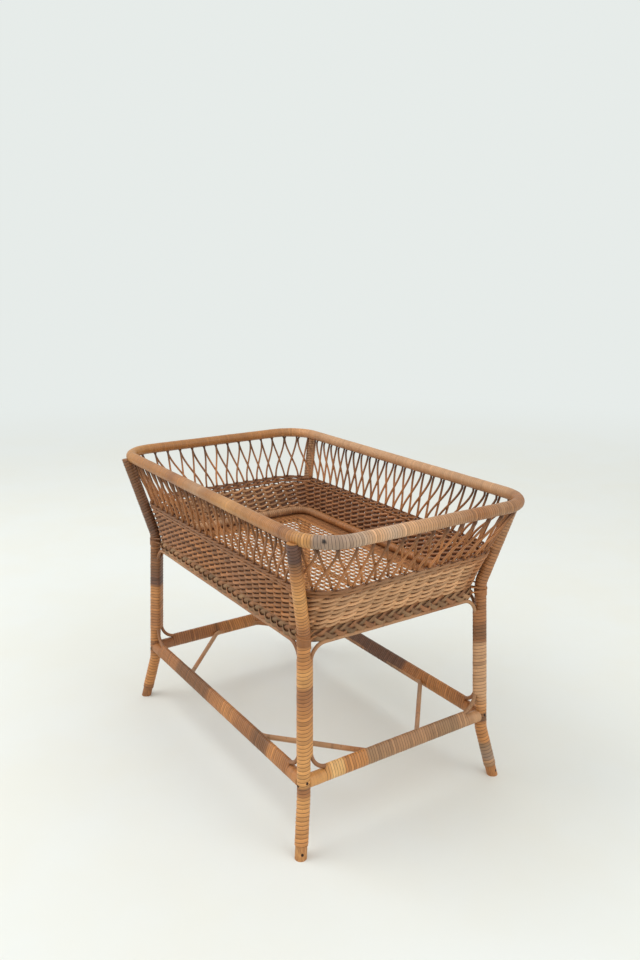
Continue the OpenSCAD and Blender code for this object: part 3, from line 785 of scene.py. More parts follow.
@dataclass
class Plan:
    """Sizes of the frame, read from its nodes' boxes where a box tells them."""

    cane: float = 1.5 * MM
    leg_radius: float = 12.1 * MM
    leg_bend: float = 60 * MM
    knee_above_base: float = 28 * MM
    ankle_below_stretcher: float = 27 * MM
    foot_splay: float = 18 * MM
    foot_bare: float = 22 * MM
    leg_top_angle: float = math.radians(78)
    leg_top_out: float = 9.6 * MM
    rim_corner: float = 88 * MM
    loops: int = 76
    rod_radius: float = field(init=False)
    brace_radius: float = field(init=False)

    def __post_init__(self) -> None:
        """Reads the boxes."""
        low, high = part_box("rim_binding")
        self.rim_radius = (high.z - low.z) / 2
        self.rim_z = (high.z + low.z) / 2
        self.rim = Outline(high.x - self.rim_radius, high.y - self.rim_radius, self.rim_corner)
        low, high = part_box("stretcher_pole_rear")
        self.leg_y = (low.y + high.y) / 2
        self.stretcher_z = (low.z + high.z) / 2
        self.stretcher_radius = (high.z - low.z) / 2
        low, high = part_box("stretcher_pole_right")
        self.leg_x = (low.x + high.x) / 2
        low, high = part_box("bow_rear")
        self.rod_radius = (high.y - low.y) / 2
        self.bow_z = low.z + self.rod_radius
        self.rods_meet = high.z
        low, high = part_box("arch_rear")
        self.arch_z = high.z - self.rod_radius
        low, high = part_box("brace_rear_right")
        self.brace_radius = (high.z - low.z) / 2
        low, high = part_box("plaited_border")
        self.base_z, self.border_top = low.z, high.z
        self.border_half = 5.5 * MM
        self.border = Outline(high.x - self.border_half, high.y - self.border_half, 50 * MM)
        low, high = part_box("base_ring_binding")
        self.ring_radius = (high.z - low.z) / 2
        self.ring_z = (high.z + low.z) / 2
        self.ring = Outline(high.x - self.ring_radius, high.y - self.ring_radius, 44 * MM)
        low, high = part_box("woven_band")
        self.band_low, self.band_high = low.z, high.z
        low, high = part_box("twined_edging")
        self.edging_top = high.z
        self.wall_high = Outline(high.x - 5 * MM, high.y - 5 * MM, 80 * MM)
        self.wall_low = Outline(self.border.half_x - 0.5 * MM, self.border.half_y - 0.5 * MM, 50 * MM)
        self.reed_radius = 2.4 * MM
        self.guide = self.rim.inset(11.5 * MM)
        self.pair_gap = 2 * self.reed_radius + 2.4 * MM
        self.mat = self.border.inset(self.border_half + 0.3 * MM)

    def wall(self, z: Array) -> Outline:
        """The woven wall's centre line at given heights."""
        share = (z - self.band_low) / (self.band_high - self.band_low)
        low, high = self.wall_low, self.wall_high
        return Outline(low.half_x + (high.half_x - low.half_x) * share,
                       low.half_y + (high.half_y - low.half_y) * share,
                       low.corner + (high.corner - low.corner) * share)

    def wall_spots(self, stake: Array, z: Array, out: Array) -> tuple[Array, Array]:
        """Points of the woven wall.

        Args:
            stake: Places round the basket, counted in stakes.
            z: Heights.
            out: Distances outward from the wall's centre line.

        Returns:
            The points and the outward directions.
        """
        points, outward = self.wall(z).follow(stake / self.loops, self.guide)
        roomy = 1.5 * MM * (1 - smooth(z, 441 * MM, 451 * MM))
        points = points + outward * (out + roomy)[:, None]
        return np.column_stack([points, z]), np.column_stack([outward, np.zeros(len(z))])


@dataclass
class RimHoop:
    """The wound hoop at the top."""

    plan: Plan
    strip: float = 6.0 * MM
    stains: Stains = Stains((
        (0.000, Tone.CLAY), (0.018, Tone.CLAY), (0.040, Tone.COPPER), (0.060, Tone.CLAY),
        (0.090, Tone.COPPER), (0.112, Tone.TAN), (0.200, Tone.TAN), (0.270, Tone.TAN),
        (0.360, Tone.TAN), (0.440, Tone.AMBER), (0.500, Tone.AMBER), (0.560, Tone.AMBER),
        (0.590, Tone.HONEY), (0.640, Tone.AMBER), (0.690, Tone.AMBER), (0.705, Tone.COPPER),
        (0.722, Tone.AMBER), (0.750, Tone.TAN), (0.770, Tone.AMBER), (0.800, Tone.HONEY),
        (0.850, Tone.AMBER), (0.866, Tone.AMBER), (0.878, Tone.COPPER), (0.888, Tone.AMBER),
        (0.895, Tone.HONEY), (0.9035, Tone.HONEY), (0.9060, Tone.ASH), (0.925, Tone.ASH),
        (0.938, Tone.STONE), (0.948, Tone.TAN), (0.962, Tone.STONE), (0.975, Tone.TAN),
        (1.000, Tone.CLAY)))
    crispness: tuple[tuple[float, float], ...] = (
        (0.0, 1.0), (0.06, 0.9), (0.10, 0.45), (0.38, 0.35), (0.56, 0.3), (0.60, 0.2), (0.84, 0.25),
        (0.88, 0.6), (0.905, 1.0), (1.0, 1.0))
    # Brightness by place round the rim, painted light and shade: darker from the left end along the front
    # and near the rear-right corner, lighter round the front-right corner and the right end.
    wear_and_shade: tuple[tuple[float, float], ...] = (
        (0.0, 1.06), (0.03, 0.92), (0.11, 0.9), (0.2, 1.0), (0.4, 1.0), (0.46, 0.76), (0.56, 0.78),
        (0.9, 0.78),
        (0.907, 0.98), (0.93, 1.1), (0.96, 1.2), (0.985, 1.25), (1.0, 1.06))
    hole: Vector = Vector((0.4759, -0.2608, 0.635))

    def tint(self, run: Array, spots: Array) -> Array:
        """Colours along the rim, made lighter or darker by place as painted light and shade, with one dark
        nail hole.
        """
        share = run / self.length
        # Painted light and shade: the colours are scaled by place round the rim.
        worn_and_shaded = np.interp(share % 1, [at for at, _ in self.wear_and_shade], [light for _, light in self.wear_and_shade])
        colours = self.stains.at(share) * worn_and_shaded[:, None]
        away = np.linalg.norm(spots - np.array(self.hole), axis=1)
        share = 1 - smooth(away, 3.8 * MM, 5.6 * MM)
        return colours * (1 - share[:, None]) + Tone.SOOT.linear() * share[:, None]

    def build(self, cane: bpy.types.Material) -> None:
        """Winds the rim."""
        track = hoop(self.plan.rim, self.plan.rim_z)
        self.length = track.length
        winding = Winding(track, self.plan.rim_radius, self.strip, crispness=self.crispness)
        winding.roll("rim_cane", self.tint).place(cane, "cane", "rim_binding")


@dataclass
class Leg:
    """A bent leg with its binding and the ties at its knee."""

    plan: Plan
    corner: Corner
    stains: Stains
    strip: float = 7.4 * MM
    strap: float = 1.9 * MM

    def __post_init__(self) -> None:
        """Works out the leg's line from the floor to the rim."""
        plan = self.plan
        self.sign_x, self.sign_y = self.corner.value
        centre_x = plan.rim.half_x - plan.rim_corner
        centre_y = plan.rim.half_y - plan.rim_corner
        out = plan.rim_corner + plan.leg_top_out
        top = np.array([centre_x + out * math.cos(plan.leg_top_angle),
                        centre_y + out * math.sin(plan.leg_top_angle),
                        plan.rim_z - plan.rim_radius + 2 * MM])
        knee = np.array([plan.leg_x, plan.leg_y, plan.base_z + plan.knee_above_base])
        ankle = np.array([plan.leg_x, plan.leg_y, plan.stretcher_z - plan.ankle_below_stretcher])
        foot = np.array([plan.leg_x + plan.foot_splay, plan.leg_y + plan.foot_splay, 0.0])
        end = knee + (top - knee) * (plan.rim_z - knee[2]) / (top[2] - knee[2])
        line = bent([foot, ankle, knee, end], [plan.leg_bend, plan.leg_bend])
        self.signs = np.array([self.sign_x, self.sign_y, 1.0])
        self.track = Track(line * self.signs, (self.sign_x, 0, 0))
        self.radius = plan.leg_radius + plan.cane

    def run_at(self, z: float) -> float:
        """Distance along the leg at a height."""
        return float(np.interp(z, self.track.spots[:, 2], self.track.marks))

    def tint(self, run: Array, spots: Array) -> Array:
        """Colours by height."""
        return self.stains.at(spots[:, 2])

    def bind(self, cane: bpy.types.Material) -> None:
        """Winds the leg, thicker where the side rods lie against it."""
        plan = self.plan
        rod = plan.leg_radius + 0.1 * MM + plan.rod_radius
        bar = plan.rod_radius + plan.cane
        bundle = Bundle(((0, 0, self.radius + 0.2 * MM), (-rod, 0, bar),
                         (0, -self.sign_x * self.sign_y * rod, bar)))
        low, high = self.run_at(plan.bow_z + 36 * MM), self.run_at(plan.arch_z - 29 * MM)
        thick = Stretch(low, high, bundle)
        winding = Winding(self.track, self.radius, self.strip, start=self.run_at(plan.foot_bare),
                          stretches=(thick,), groove=1.15 * MM, wobble=0.25 * MM)
        piece = winding.roll(self.corner.node("leg_cane"), self.tint)
        piece.trim(plan.rim_z - plan.rim_radius * 0.45 - 1.4 * MM)
        piece.place(cane, "cane", self.corner.node("leg_binding"))

    def tie(self, lashing: bpy.types.Material) -> None:
        """Ties the basket's edge to the knee: a short coil and two strips that cross."""
        low = self.run_at(self.plan.base_z + 2 * MM)
        coil = Winding(self.track, self.radius + 1.2 * MM, 3.1 * MM, start=low, end=low + 12.4 * MM,
                       groove=0.9 * MM, wobble=0.0)
        piece = coil.roll(self.corner.node("knee_coil"), lambda run, spots: self.tint(run, spots) * 0.9)
        piece.place(lashing, "lashing", self.corner.node("knee_lashing"))
        straps = Piece(self.corner.node("knee_straps"))
        for slope in (1, -1):
            self.cross(straps, slope, self.plan.base_z + 16.5 * MM, 5 * MM)
        straps.weld()
        straps.place(lashing, "lashing")

    def cross(self, piece: Piece, slope: int, z: float, rise: float) -> None:
        """Lays one flat strip across the outer side of the leg.

        Args:
            piece: The piece that takes the strip.
            slope: 1 where it falls from the long side to the short one, and -1 where it rises.
            z: Height of its middle.
            rise: How far its ends are above or below the middle.
        """
        radius = self.radius + (0.9 + 0.5 * slope) * MM
        keys = []
        for share, angle in ((1.0, 112), (0.55, 84), (0.0, 45), (-0.55, 6), (-1.0, -22)):
            turn = math.radians(angle)
            keys.append((radius * math.cos(turn), radius * math.sin(turn), slope * share * rise * 0.7,
                         math.cos(turn), math.sin(turn), 0))
        ends = [(-19 * MM, 4.5 * MM, slope * rise, -0.2, 1, 0),
                (-30 * MM, 0.5 * MM, slope * rise * 1.25, 0, 1, 0)]
        start = list(reversed(ends))
        stop = [(y, x, -dz, ny, nx, 0) for x, y, dz, nx, ny, _ in ends]
        rows = flowing(np.array(start + keys + stop), 5)
        spots = (rows[:, :3] + np.array([self.plan.leg_x, self.plan.leg_y, z])) * self.signs
        up = rows[:, 3:] * self.signs
        tint = self.stains.at(spots[:, 2])
        piece.strand(spots, up, 0.6 * MM, self.strap, 8, tint, 0.5 + 0.2 * slope)


class Side(Enum):
    """The four sides of the frame: its axis and the sign of its place across."""

    FRONT = (0, -1)
    REAR = (0, 1)
    LEFT = (1, -1)
    RIGHT = (1, 1)


@dataclass
class SideFrame:
    """One side between two legs: the bound stretcher, the bow on it and the arch above."""

    plan: Plan
    side: Side
    stains: Stains
    strip: float = 6.4 * MM
    bow_bend: float = 42 * MM
    arch_bend: float = 34 * MM
    smooth_end: float = 34 * MM

    def __post_init__(self) -> None:
        """Sets the side's own axis and length."""
        plan = self.plan
        self.along, self.sign = self.side.value
        self.name = self.side.name.lower()
        self.half = plan.leg_y if self.along else plan.leg_x
        self.off = self.sign * (plan.leg_x if self.along else plan.leg_y)
        self.rod = plan.leg_radius + 0.1 * MM + plan.rod_radius

    def spot(self, way: float, z: float) -> list[float]:
        """A point of this side's upright plane."""
        return [self.off, way, z] if self.along else [way, self.off, z]

    def tint(self, run: Array, spots: Array) -> Array:
        """Colours along the stretcher, as shares from -1 to 1."""
        return self.stains.at(spots[:, self.along] / self.half)

    def bind(self, cane: bpy.types.Material, reach: float) -> None:
        """Winds the stretcher, with the bow and the braces bound in.

        Args:
            cane: The finish.
            reach: How far from the middle the braces are bound in.
        """
        plan = self.plan
        stop = self.half - 9 * MM
        ends = [self.spot(-stop, plan.stretcher_z), self.spot(stop, plan.stretcher_z)]
        track = Track(np.array(ends), (0, 0, 1))
        radius = plan.stretcher_radius + plan.cane
        bow = (plan.bow_z - plan.stretcher_z, 0, plan.rod_radius + plan.cane)
        inward = self.sign if not self.along else -self.sign
        beside = plan.stretcher_radius + 0.1 * MM + plan.brace_radius
        brace = (0, inward * beside, plan.brace_radius + plan.cane)
        thick = self.half - self.rod - self.bow_bend + 6 * MM
        stretches = (Stretch(stop - thick, stop + thick, Bundle(((0, 0, radius), bow))),
                     Stretch(stop - reach, stop + reach, Bundle(((0, 0, radius), bow, brace))))
        near, far = self.smooth_end / track.length, (self.smooth_end + 4 * MM) / track.length
        crispness = ((0.0, 0.1), (near, 0.1), (far, 1.0), (1 - far, 1.0), (1 - near, 0.1), (1.0, 0.1))
        winding = Winding(track, radius, self.strip, stretches=stretches, columns=24, groove=0.9 * MM,
                          crispness=crispness)
        piece = winding.roll(f"stretcher_cane_{self.name}", self.tint)
        piece.place(cane, "cane", f"stretcher_binding_{self.name}")

    def rods(self, rod: bpy.types.Material) -> None:
        """Bends the bow that turns up along the legs and the arch that turns down."""
        plan = self.plan
        width = self.half - self.rod
        shapes = (("bow", plan.bow_z, plan.rods_meet, self.bow_bend),
                  ("arch", plan.arch_z, plan.rods_meet + 1 * MM, self.arch_bend))
        across = [float(self.along), float(1 - self.along), 0.0]
        for name, level, end, bend in shapes:
            line = bent([self.spot(-width, end), self.spot(-width, level),
                         self.spot(width, level), self.spot(width, end)], [bend, bend])
            spots = Track(line, across).spread(6 * MM)
            seed = hash_of(name + self.name)
            run = np.arange(len(spots)) * 6 * MM
            radius = plan.rod_radius * (0.965 + 0.035 * ripple(run, seed, 40 * MM))
            last = Tone.CHESTNUT if name == "arch" else Tone.COPPER
            tint = Stains(((-1, Tone.CLAY), (0.2, Tone.BARK), (1, last)))
            piece = Piece(f"{name}_rod_{self.name}")
            colours = tint.at(ripple(run, seed + 1, 90 * MM))
            piece.strand(spots, np.array(across), radius, radius, 12, colours, (seed % 10) / 10)
            piece.weld()
            piece.place(rod, "rod", f"{name}_{self.name}")


def hash_of(text: str) -> int:
    """A small repeatable number for a name."""
    return sum((i + 1) * ord(letter) for i, letter in enumerate(text)) % 997


@dataclass
class Braces:
    """The bent rods across the four corners between the stretchers."""

    plan: Plan
    long_at: float = 175 * MM
    short_at: float = 62 * MM
    bend: float = 30 * MM

    def build(self, rod: bpy.types.Material) -> None:
        """Bends the four rods."""
        plan = self.plan
        inset = plan.stretcher_radius + 0.1 * MM + plan.brace_radius
        x, y, z = plan.leg_x - inset, plan.leg_y - inset, plan.stretcher_z
        corners = [(x, MM, z), (x, self.short_at, z), (self.long_at, y, z), (MM, y, z)]
        line = bent(corners, [self.bend] * 2)
        for corner in Corner:
            sign_x, sign_y = corner.value
            spots = Track(line * np.array([sign_x, sign_y, 1.0]), (0, 0, 1)).spread(6 * MM)
            seed = hash_of(corner.name)
            run = np.arange(len(spots)) * 6 * MM
            free = smooth(run, 20 * MM, 60 * MM) * (1 - smooth(run, run[-1] - 60 * MM, run[-1] - 20 * MM))
            radius = plan.brace_radius * (0.96 + 0.36 * free + 0.04 * ripple(run, seed, 50 * MM))
            tint = Stains(((-1, Tone.DUN), (0, Tone.CLAY), (1, Tone.COPPER)))
            colours = tint.at(ripple(run, seed + 2, 80 * MM))
            piece = Piece(corner.node("brace_rod"))
            piece.strand(spots, np.array([0, 0, 1.0]), radius, radius, 12, colours, (seed % 10) / 10)
            piece.weld()
            piece.place(rod, "rod", corner.node("brace"))


@dataclass
class Lattice:
    """The reeds bent into crossing loops between the woven wall and the rim."""

    plan: Plan
    radius: float = 2.75 * MM
    layer_gap: float = 5.5 * MM
    ease: float = 1.2 * MM
    crown_inset: float = 6 * MM
    crown_below: float = 18.5 * MM
    swing: float = 0.62
    groups: tuple[tuple[str, int, int], ...] = (
        ("right", -5, 4), ("rear_right", 5, 8), ("rear", 9, 28), ("rear_left", 29, 32),
        ("left", 33, 42), ("front_left", 43, 46), ("front", 47, 66), ("front_right", 67, 70))

    def side(self, foot: Array, top: Array, along: Array, seed: int) -> Array:
        """One side of a loop: upright at its foot and at its top, and slanted between.

        Args:
            foot: Where it leaves the wall.
            top: Where the crown begins.
            along: The direction along the wall.
            seed: Which reed this is.

        Returns:
            Points from the foot to just below the top.
        """
        share = (np.arange(12) / 12)[:, None]
        reach = (top - foot) @ along
        eased = (1 - self.swing) * share + self.swing * share * share * (3 - 2 * share)
        sway = np.sin(share * math.pi) * 1.4 * MM * float(ripple(seed, 5, 1.0))
        return foot + (top - foot - reach * along) * share + (reach * eased + sway) * along

    def loop(self, index: int) -> tuple[Array, Array]:
        """The line of one loop.

        Args:
            index: Its number, counted from the middle of +X.

        Returns:
            Its points and the direction that it faces.
        """
        plan = self.plan
        shares = np.array([index, index + 1]) / plan.loops
        line = plan.rim.inset(self.crown_inset)
        tops = np.column_stack([line.follow(shares, plan.guide)[0], [plan.rim_z - self.crown_below] * 2])
        base = plan.wall_high.follow(shares, plan.guide)[0]
        feet = np.column_stack([base, [plan.edging_top + 0.3 * MM] * 2])
        chord = float(np.linalg.norm(tops[1] - tops[0]))
        radius = chord / 2 - self.ease
        along = (tops[1] - tops[0]) / chord
        middle, foot_middle = tops.mean(0), feet.mean(0)
        rise = middle - foot_middle
        up = unit(rise - (rise @ along) * along)
        face = np.cross(along, up)
        tilt = math.asin(self.layer_gap / 2 / radius)
        reach = (feet[1] - feet[0]) / 2 * (1 - plan.pair_gap / np.linalg.norm(feet[1] - feet[0]))
        layer = self.layer_gap / 2 * face
        angle = np.linspace(0, math.pi, 13)[:, None]
        flat = math.cos(tilt) * along + math.sin(tilt) * face
        crown = middle + radius * (np.cos(angle) * flat + np.sin(angle) * up)
        first = self.side(foot_middle - reach + layer, crown[0], along, index * 2)
        last = self.side(foot_middle + reach - layer, crown[-1], along, index * 2 + 1)
        return np.vstack([first, crown, last[::-1]]), face

    def build(self, reed: bpy.types.Material) -> None:
        """Bends the loops, one piece to a node."""
        # The reeds go from copper to umber towards their tops: painted shadow of the rim.
        colours = Stains(((0.57, Tone.COPPER), (0.60, Tone.CHESTNUT), (0.62, Tone.UMBER)))
        for name, first, last in self.groups:
            piece = Piece(f"loops_{name}")
            for index in range(first, last + 1):
                spots, face = self.loop(index)
                run = np.arange(len(spots))
                radius = self.radius * (0.98 + 0.05 * ripple(run, 300 + index, 6.0))
                tint = colours.at(spots[:, 2]) * (1 + 0.22 * float(ripple(index, 7, 1.0)))
                own = float(ripple(index, 8, 1.0)) / 2 + 0.5
                piece.strand(spots, face, radius, radius, 8, tint, own)
            piece.weld()
            piece.place(reed, "reed", f"lattice_{name}")


@dataclass
class WovenWall:
    """The close band: pairs of stakes, rows of paired weavers and a firm edge on top."""

    plan: Plan
    rows: int = 7
    row_step: float = 10.9 * MM
    first_row: float = 429.0 * MM
    strand: float = 3.3 * MM
    flat: float = 0.76
    swing: float = 5.2 * MM
    slant: float = 2.6 * MM
    sag: float = 1.3 * MM
    samples: int = 8
    stake_gap: float = 7.3 * MM
    stains: Stains = Stains((
        (0.00, Tone.REED), (0.03, Tone.TAN), (0.06, Tone.REED), (0.075, Tone.COPPER),
        (0.12, Tone.BARK), (0.40, Tone.BARK), (0.45, Tone.CLAY), (0.55, Tone.CLAY), (0.60, Tone.BARK),
        (0.64, Tone.BARK), (0.72, Tone.COPPER), (0.80, Tone.BARK), (0.88, Tone.COPPER), (0.93, Tone.TAN),
        (1.00, Tone.REED)))

    def lay(self, piece: Piece, place: Array, level: Array, out: Array, light: Array, seed: int,
            radius: float, stains: Optional[Stains] = None) -> None:
        """Adds one closed strand, a little flattened against the wall.

        Args:
            piece: The piece that takes it.
            place: Places along it, counted in stakes.
            level: Heights.
            out: Distances outward from the wall's centre line.
            light: How light it is at each place.
            seed: Which strand this is.
            radius: Its radius.
            stains: Its colours round the basket, or those of the wall.
        """
        spots, outward = self.plan.wall_spots(place, level, out)
        stains = stains or self.stains
        tint = stains.at(np.mod(place / self.plan.loops, 1.0)) * light[:, None]
        piece.strand(spots, outward, radius * self.flat, radius, 6, tint, (seed * 0.37) % 1, closed=True)

    def twine(self, piece: Piece, z: float, seed: int) -> None:
        """Weaves one row: two strands twist, and each passes outside every other stake pair."""
        place = np.arange(self.plan.loops * self.samples) / self.samples
        beat = np.cos(place * math.pi)
        for flip in (1, -1):
            lift = flip * self.slant * np.sin(place * math.pi)
            out = flip * self.swing * np.sign(beat) * np.abs(beat) ** 0.8
            level = z + lift - self.sag * np.abs(beat) + 0.5 * MM * ripple(place, seed, 3.0)
            light = 1 + 0.20 * ripple(place, seed + flip, 2.0) + 0.12 * ripple(place, seed + 3, 9.0)
            thick = self.strand * (1 + 0.2 * (1 - np.abs(beat)))
            self.lay(piece, place, level, out, light, seed, thick)

    def wale(self, piece: Piece, z: float, light: float, seed: int) -> None:
        """Weaves one firm row: each stroke of a strand passes outside two stake pairs."""
        place = np.arange(self.plan.loops * 3 * self.samples) / self.samples
        beat = np.mod(place, 3.0)
        out = np.interp(beat, [0, 0.35, 1.65, 2.0, 2.35, 2.65, 3.0], [0, 1, 1, 0, -1, -1, 0])
        lift = np.interp(beat, [0, 2.0, 3.0], [-1, 1, -1]) * 2.7 * MM
        level = z + lift + 0.3 * MM * ripple(place, seed, 3.0)
        lights = light * (1 + 0.22 * ripple(place, seed + 1, 3.0))
        brown = Stains(((0.0, Tone.CLAY), (0.08, Tone.COPPER), (0.5, Tone.BARK), (0.9, Tone.RUSSET),
                        (1.0, Tone.CLAY)))
        self.lay(piece, place, level, out * 4.8 * MM + 0.4 * MM, lights, seed, 2.3 * MM, brown)

    def stakes(self, reed: bpy.types.Material) -> None:
        """Stands the stakes: pairs that run on into the loops, with two short ones between them."""
        plan = self.plan
        piece = Piece("stakes")
        levels = np.linspace(plan.border_top - 2 * MM, plan.edging_top + 1.5 * MM, 9)
        for stake in range(plan.loops):
            for side in (-1.0, -0.34, 0.34, 1.0):
                spots, outward = plan.wall_spots(np.full(9, float(stake)), levels, np.zeros(9))
                beside = np.cross([0, 0, 1.0], outward[0])
                apart = np.where(levels > plan.band_high, plan.pair_gap / 2, self.stake_gap)
                spots = spots + beside * side * apart[:, None]
                short = abs(side) < 1
                if short:
                    spots = spots[:-2]
                # Dark walnut stakes: partly the reeds' own colour, partly painted shade in the slots between
                # the weavers.
                light = (1.45 if short else 1) + 0.2 * float(ripple(stake * 3 + side, 12, 1.0))
                piece.strand(spots, outward[0], plan.reed_radius, plan.reed_radius * 1.02, 6,
                             Tone.WALNUT.linear() * light, (stake * 0.61) % 1)
        piece.weld()
        piece.place(reed, "reed", "woven_band")

    def build(self, weave: bpy.types.Material, reed: bpy.types.Material,
              edging: bpy.types.Material) -> None:
        """Weaves the band."""
        plan = self.plan
        lower, upper = Piece("weave_lower"), Piece("weave_upper")
        for row in range(self.rows):
            piece = lower if row < 4 else upper
            self.twine(piece, self.first_row + row * self.row_step, 20 + row * 7)
        around = np.arange(plan.loops * 2) / 2
        top = self.first_row + (self.rows - 0.5) * self.row_step + 3.2 * MM
        for height, out in ((plan.border_top + 1.4 * MM, 4.6 * MM), (plan.border_top + 1.2 * MM, -3.4 * MM),
                            (top, -4.2 * MM)):
            level = height + 0.4 * MM * ripple(around, 81, 3.0)
            light = 0.72 + 0.12 * ripple(around, 82, 4.0)
            russet = Stains(((0.0, Tone.COPPER), (1.0, Tone.COPPER)))
            self.lay(lower, around, level, np.full(len(around), out), light, 83, 2.0 * MM, russet)
        for piece in (lower, upper):
            piece.weld()
            piece.place(weave, "weave", "woven_band")
        edge = Piece("wale_rows")
        self.wale(edge, self.first_row + (self.rows - 0.5) * self.row_step + 3.4 * MM, 1.0, 91)
        self.wale(edge, plan.edging_top - 4.4 * MM, 0.85, 93)
        edge.weld()
        edge.place(edging, "edging", "twined_edging")
        self.stakes(reed)


@dataclass
class BasketBase:
    """The plaited border, the bound roll inside it and the openwork bottom."""

    plan: Plan
    plait_step: float = 74 * MM
    plait_height: float = 8.2 * MM
    plait_middle: float = 9.5 * MM
    step_x: float = 20 * MM
    step_y: float = 14 * MM
    strand: float = 5.6 * MM
    edge: float = 44 * MM

    def plait(self, braid: bpy.types.Material) -> None:
        """Plaits the border of three flat strands over the ends of the stakes."""
        plan = self.plan
        piece = Piece("border_plait")
        count = int(round(4 * plan.border.quarter() / self.plait_step))
        place = np.arange(count * 20) / 20
        middle = plan.base_z + self.plait_middle
        for strand in range(3):
            phase = TURN * (place + strand / 3)
            z = middle + self.plait_height * np.sin(phase)
            out = 2.1 * MM * np.sin(2 * phase) + 5.2 * MM - 0.26 * (z - middle)
            points, outward = plan.border.follow(place / count)
            spots = np.column_stack([points + outward * out[:, None], z])
            up = unit(np.column_stack([outward, np.full(len(z), -0.3)]))
            light = 1 + 0.3 * ripple(place, 60 + strand, 0.8)
            tint = (Tone.CLAY, Tone.DUN, Tone.BARK)[strand].linear() * 0.9 * light[:, None]
            piece.strand(spots, up, 1.5 * MM, 5.3 * MM, 8, tint, strand / 3, closed=True)
        around = np.arange(400) / 400
        for z, out, radius in ((plan.base_z - 2.6 * MM, -1.2 * MM, 2.9 * MM),
                               (plan.base_z + 4.0 * MM, 2.6 * MM, 3.2 * MM),
                               (middle + 1.5 * MM, 1.6 * MM, 3.4 * MM),
                               (plan.border_top - 3.2 * MM, 0.2 * MM, 3.2 * MM)):
            points, outward = plan.border.follow(around)
            spots = np.column_stack([points + outward * out, np.full(400, z)])
            up = np.column_stack([outward, np.zeros(400)])
            piece.strand(spots, up, radius, radius * 1.05, 6, Tone.WALNUT.linear(), 0.4, closed=True)
        piece.weld()
        piece.place(braid, "border", "plaited_border")

    def ring(self, cane: bpy.types.Material) -> None:
        """Winds the roll that lies inside the wall's foot."""
        plan = self.plan
        track = hoop(plan.ring, plan.ring_z)
        stains = Stains(((0.0, Tone.COPPER), (0.10, Tone.RUSSET), (0.15, Tone.COPPER), (0.34, Tone.COPPER),
                         (0.42, Tone.CLAY), (0.50, Tone.CLAY), (0.57, Tone.TAN), (0.63, Tone.COPPER),
                         (0.90, Tone.RUSSET), (1.0, Tone.COPPER)))
        winding = Winding(track, plan.ring_radius, 6.2 * MM, columns=16, groove=1.1 * MM)
        piece = winding.roll("base_roll_cane", lambda run, spots: stains.at(run / track.length))
        piece.place(cane, "dark_cane", "base_ring_binding")

    def lines(self, half: float, step: float, close: float) -> Array:
        """Where the strands of one direction lie: even in the middle, close at the edge.

        Args:
            half: Half the bottom's size across them.
            step: Distance between them in the middle.
            close: Distance between them at the edge.

        Returns:
            Their places across the bottom.
        """
        count = math.floor(2 * (half - self.edge) / step)
        inner = (np.arange(count + 1) - count / 2) * step
        spare = half - 2 * MM - inner[-1]
        extra = int(spare / close)
        outer = inner[-1] + np.arange(1, extra + 1) * spare / (extra + 0.5)
        return np.concatenate([-outer[::-1], inner, outer])

    def reach(self, across: float, half_across: float, half_along: float) -> float:
        """How far a strand of the bottom runs before it meets the border."""
        corner = self.plan.mat.corner
        over = max(abs(across) - (half_across - corner), 0.0)
        return half_along - corner + math.sqrt(max(corner ** 2 - over ** 2, 0.0)) - 0.6 * MM

    def bottom(self, mat: bpy.types.Material) -> None:
        """Weaves the bottom: pairs of stakes across it and paired weavers along it."""
        line = self.plan.mat
        z = self.plan.border_top - 3.5 * MM
        stakes = self.lines(line.half_x, self.step_x, 8 * MM)
        piece = Piece("bottom_stakes")
        for index, x in enumerate(stakes):
            reach = self.reach(x, line.half_x, line.half_y)
            y = np.linspace(-reach, reach, 20)
            for beside in (-1, 1):
                spots = np.column_stack([np.full(20, x + beside * self.strand / 4), y, np.full(20, z)])
                spots[:, 0] += 0.4 * MM * ripple(y, 400 + index, 50 * MM)
                light = 1 + 0.2 * float(ripple(index * 2 + beside, 14, 1.0))
                piece.strand(spots, np.array([0, 0, 1.0]), 1.0 * MM, 1.6 * MM, 6,
                             Tone.COPPER.linear() * light, (index * 0.43) % 1)
        piece.weld()
        piece.place(mat, "bottom", "woven_bottom")
        self.rows(mat, stakes, z)

    def rows(self, mat: bpy.types.Material, stakes: Array, z: float) -> None:
        """Weaves the rows, with a close band along the middle.

        Args:
            mat: The finish.
            stakes: Places of the stakes along the bottom.
            z: Height of the bottom's middle layer.
        """
        line = self.plan.mat
        piece = Piece("bottom_rows")
        levels = np.concatenate([self.lines(line.half_y, self.step_y, 6 * MM), [0.0]])
        numbers = np.arange(len(stakes))
        for row, y in enumerate(levels.tolist()):
            reach = self.reach(y, line.half_y, line.half_x)
            place = np.arange(0, len(stakes) - 0.9, 0.25)
            x = np.interp(place, numbers, stakes)
            keep = np.abs(x) < reach
            place, x = place[keep], x[keep]
            for flip in (1, -1):
                lift = flip * 1.5 * MM * np.cos(place * math.pi)
                aside = flip * 1.7 * MM * np.sin(place * math.pi)
                aside = aside + 0.35 * MM * ripple(place, 500 + row, 4.0)
                spots = np.column_stack([x, y + aside, z + lift])
                light = 1 + 0.2 * ripple(place, 520 + row * 2 + flip, 3.0)
                close = smooth(np.maximum(np.abs(x) - line.half_x, abs(y) - line.half_y), -52 * MM, -40 * MM)
                tint = Tone.AMBER.linear() * (1 - close[:, None]) + Tone.COPPER.linear() * close[:, None]
                piece.strand(spots, np.array([0, 0, 1.0]), 0.9 * MM, 2.45 * MM, 5,
                             tint * light[:, None], (row * 0.29) % 1)
        piece.weld()
        piece.place(mat, "bottom", "woven_bottom")


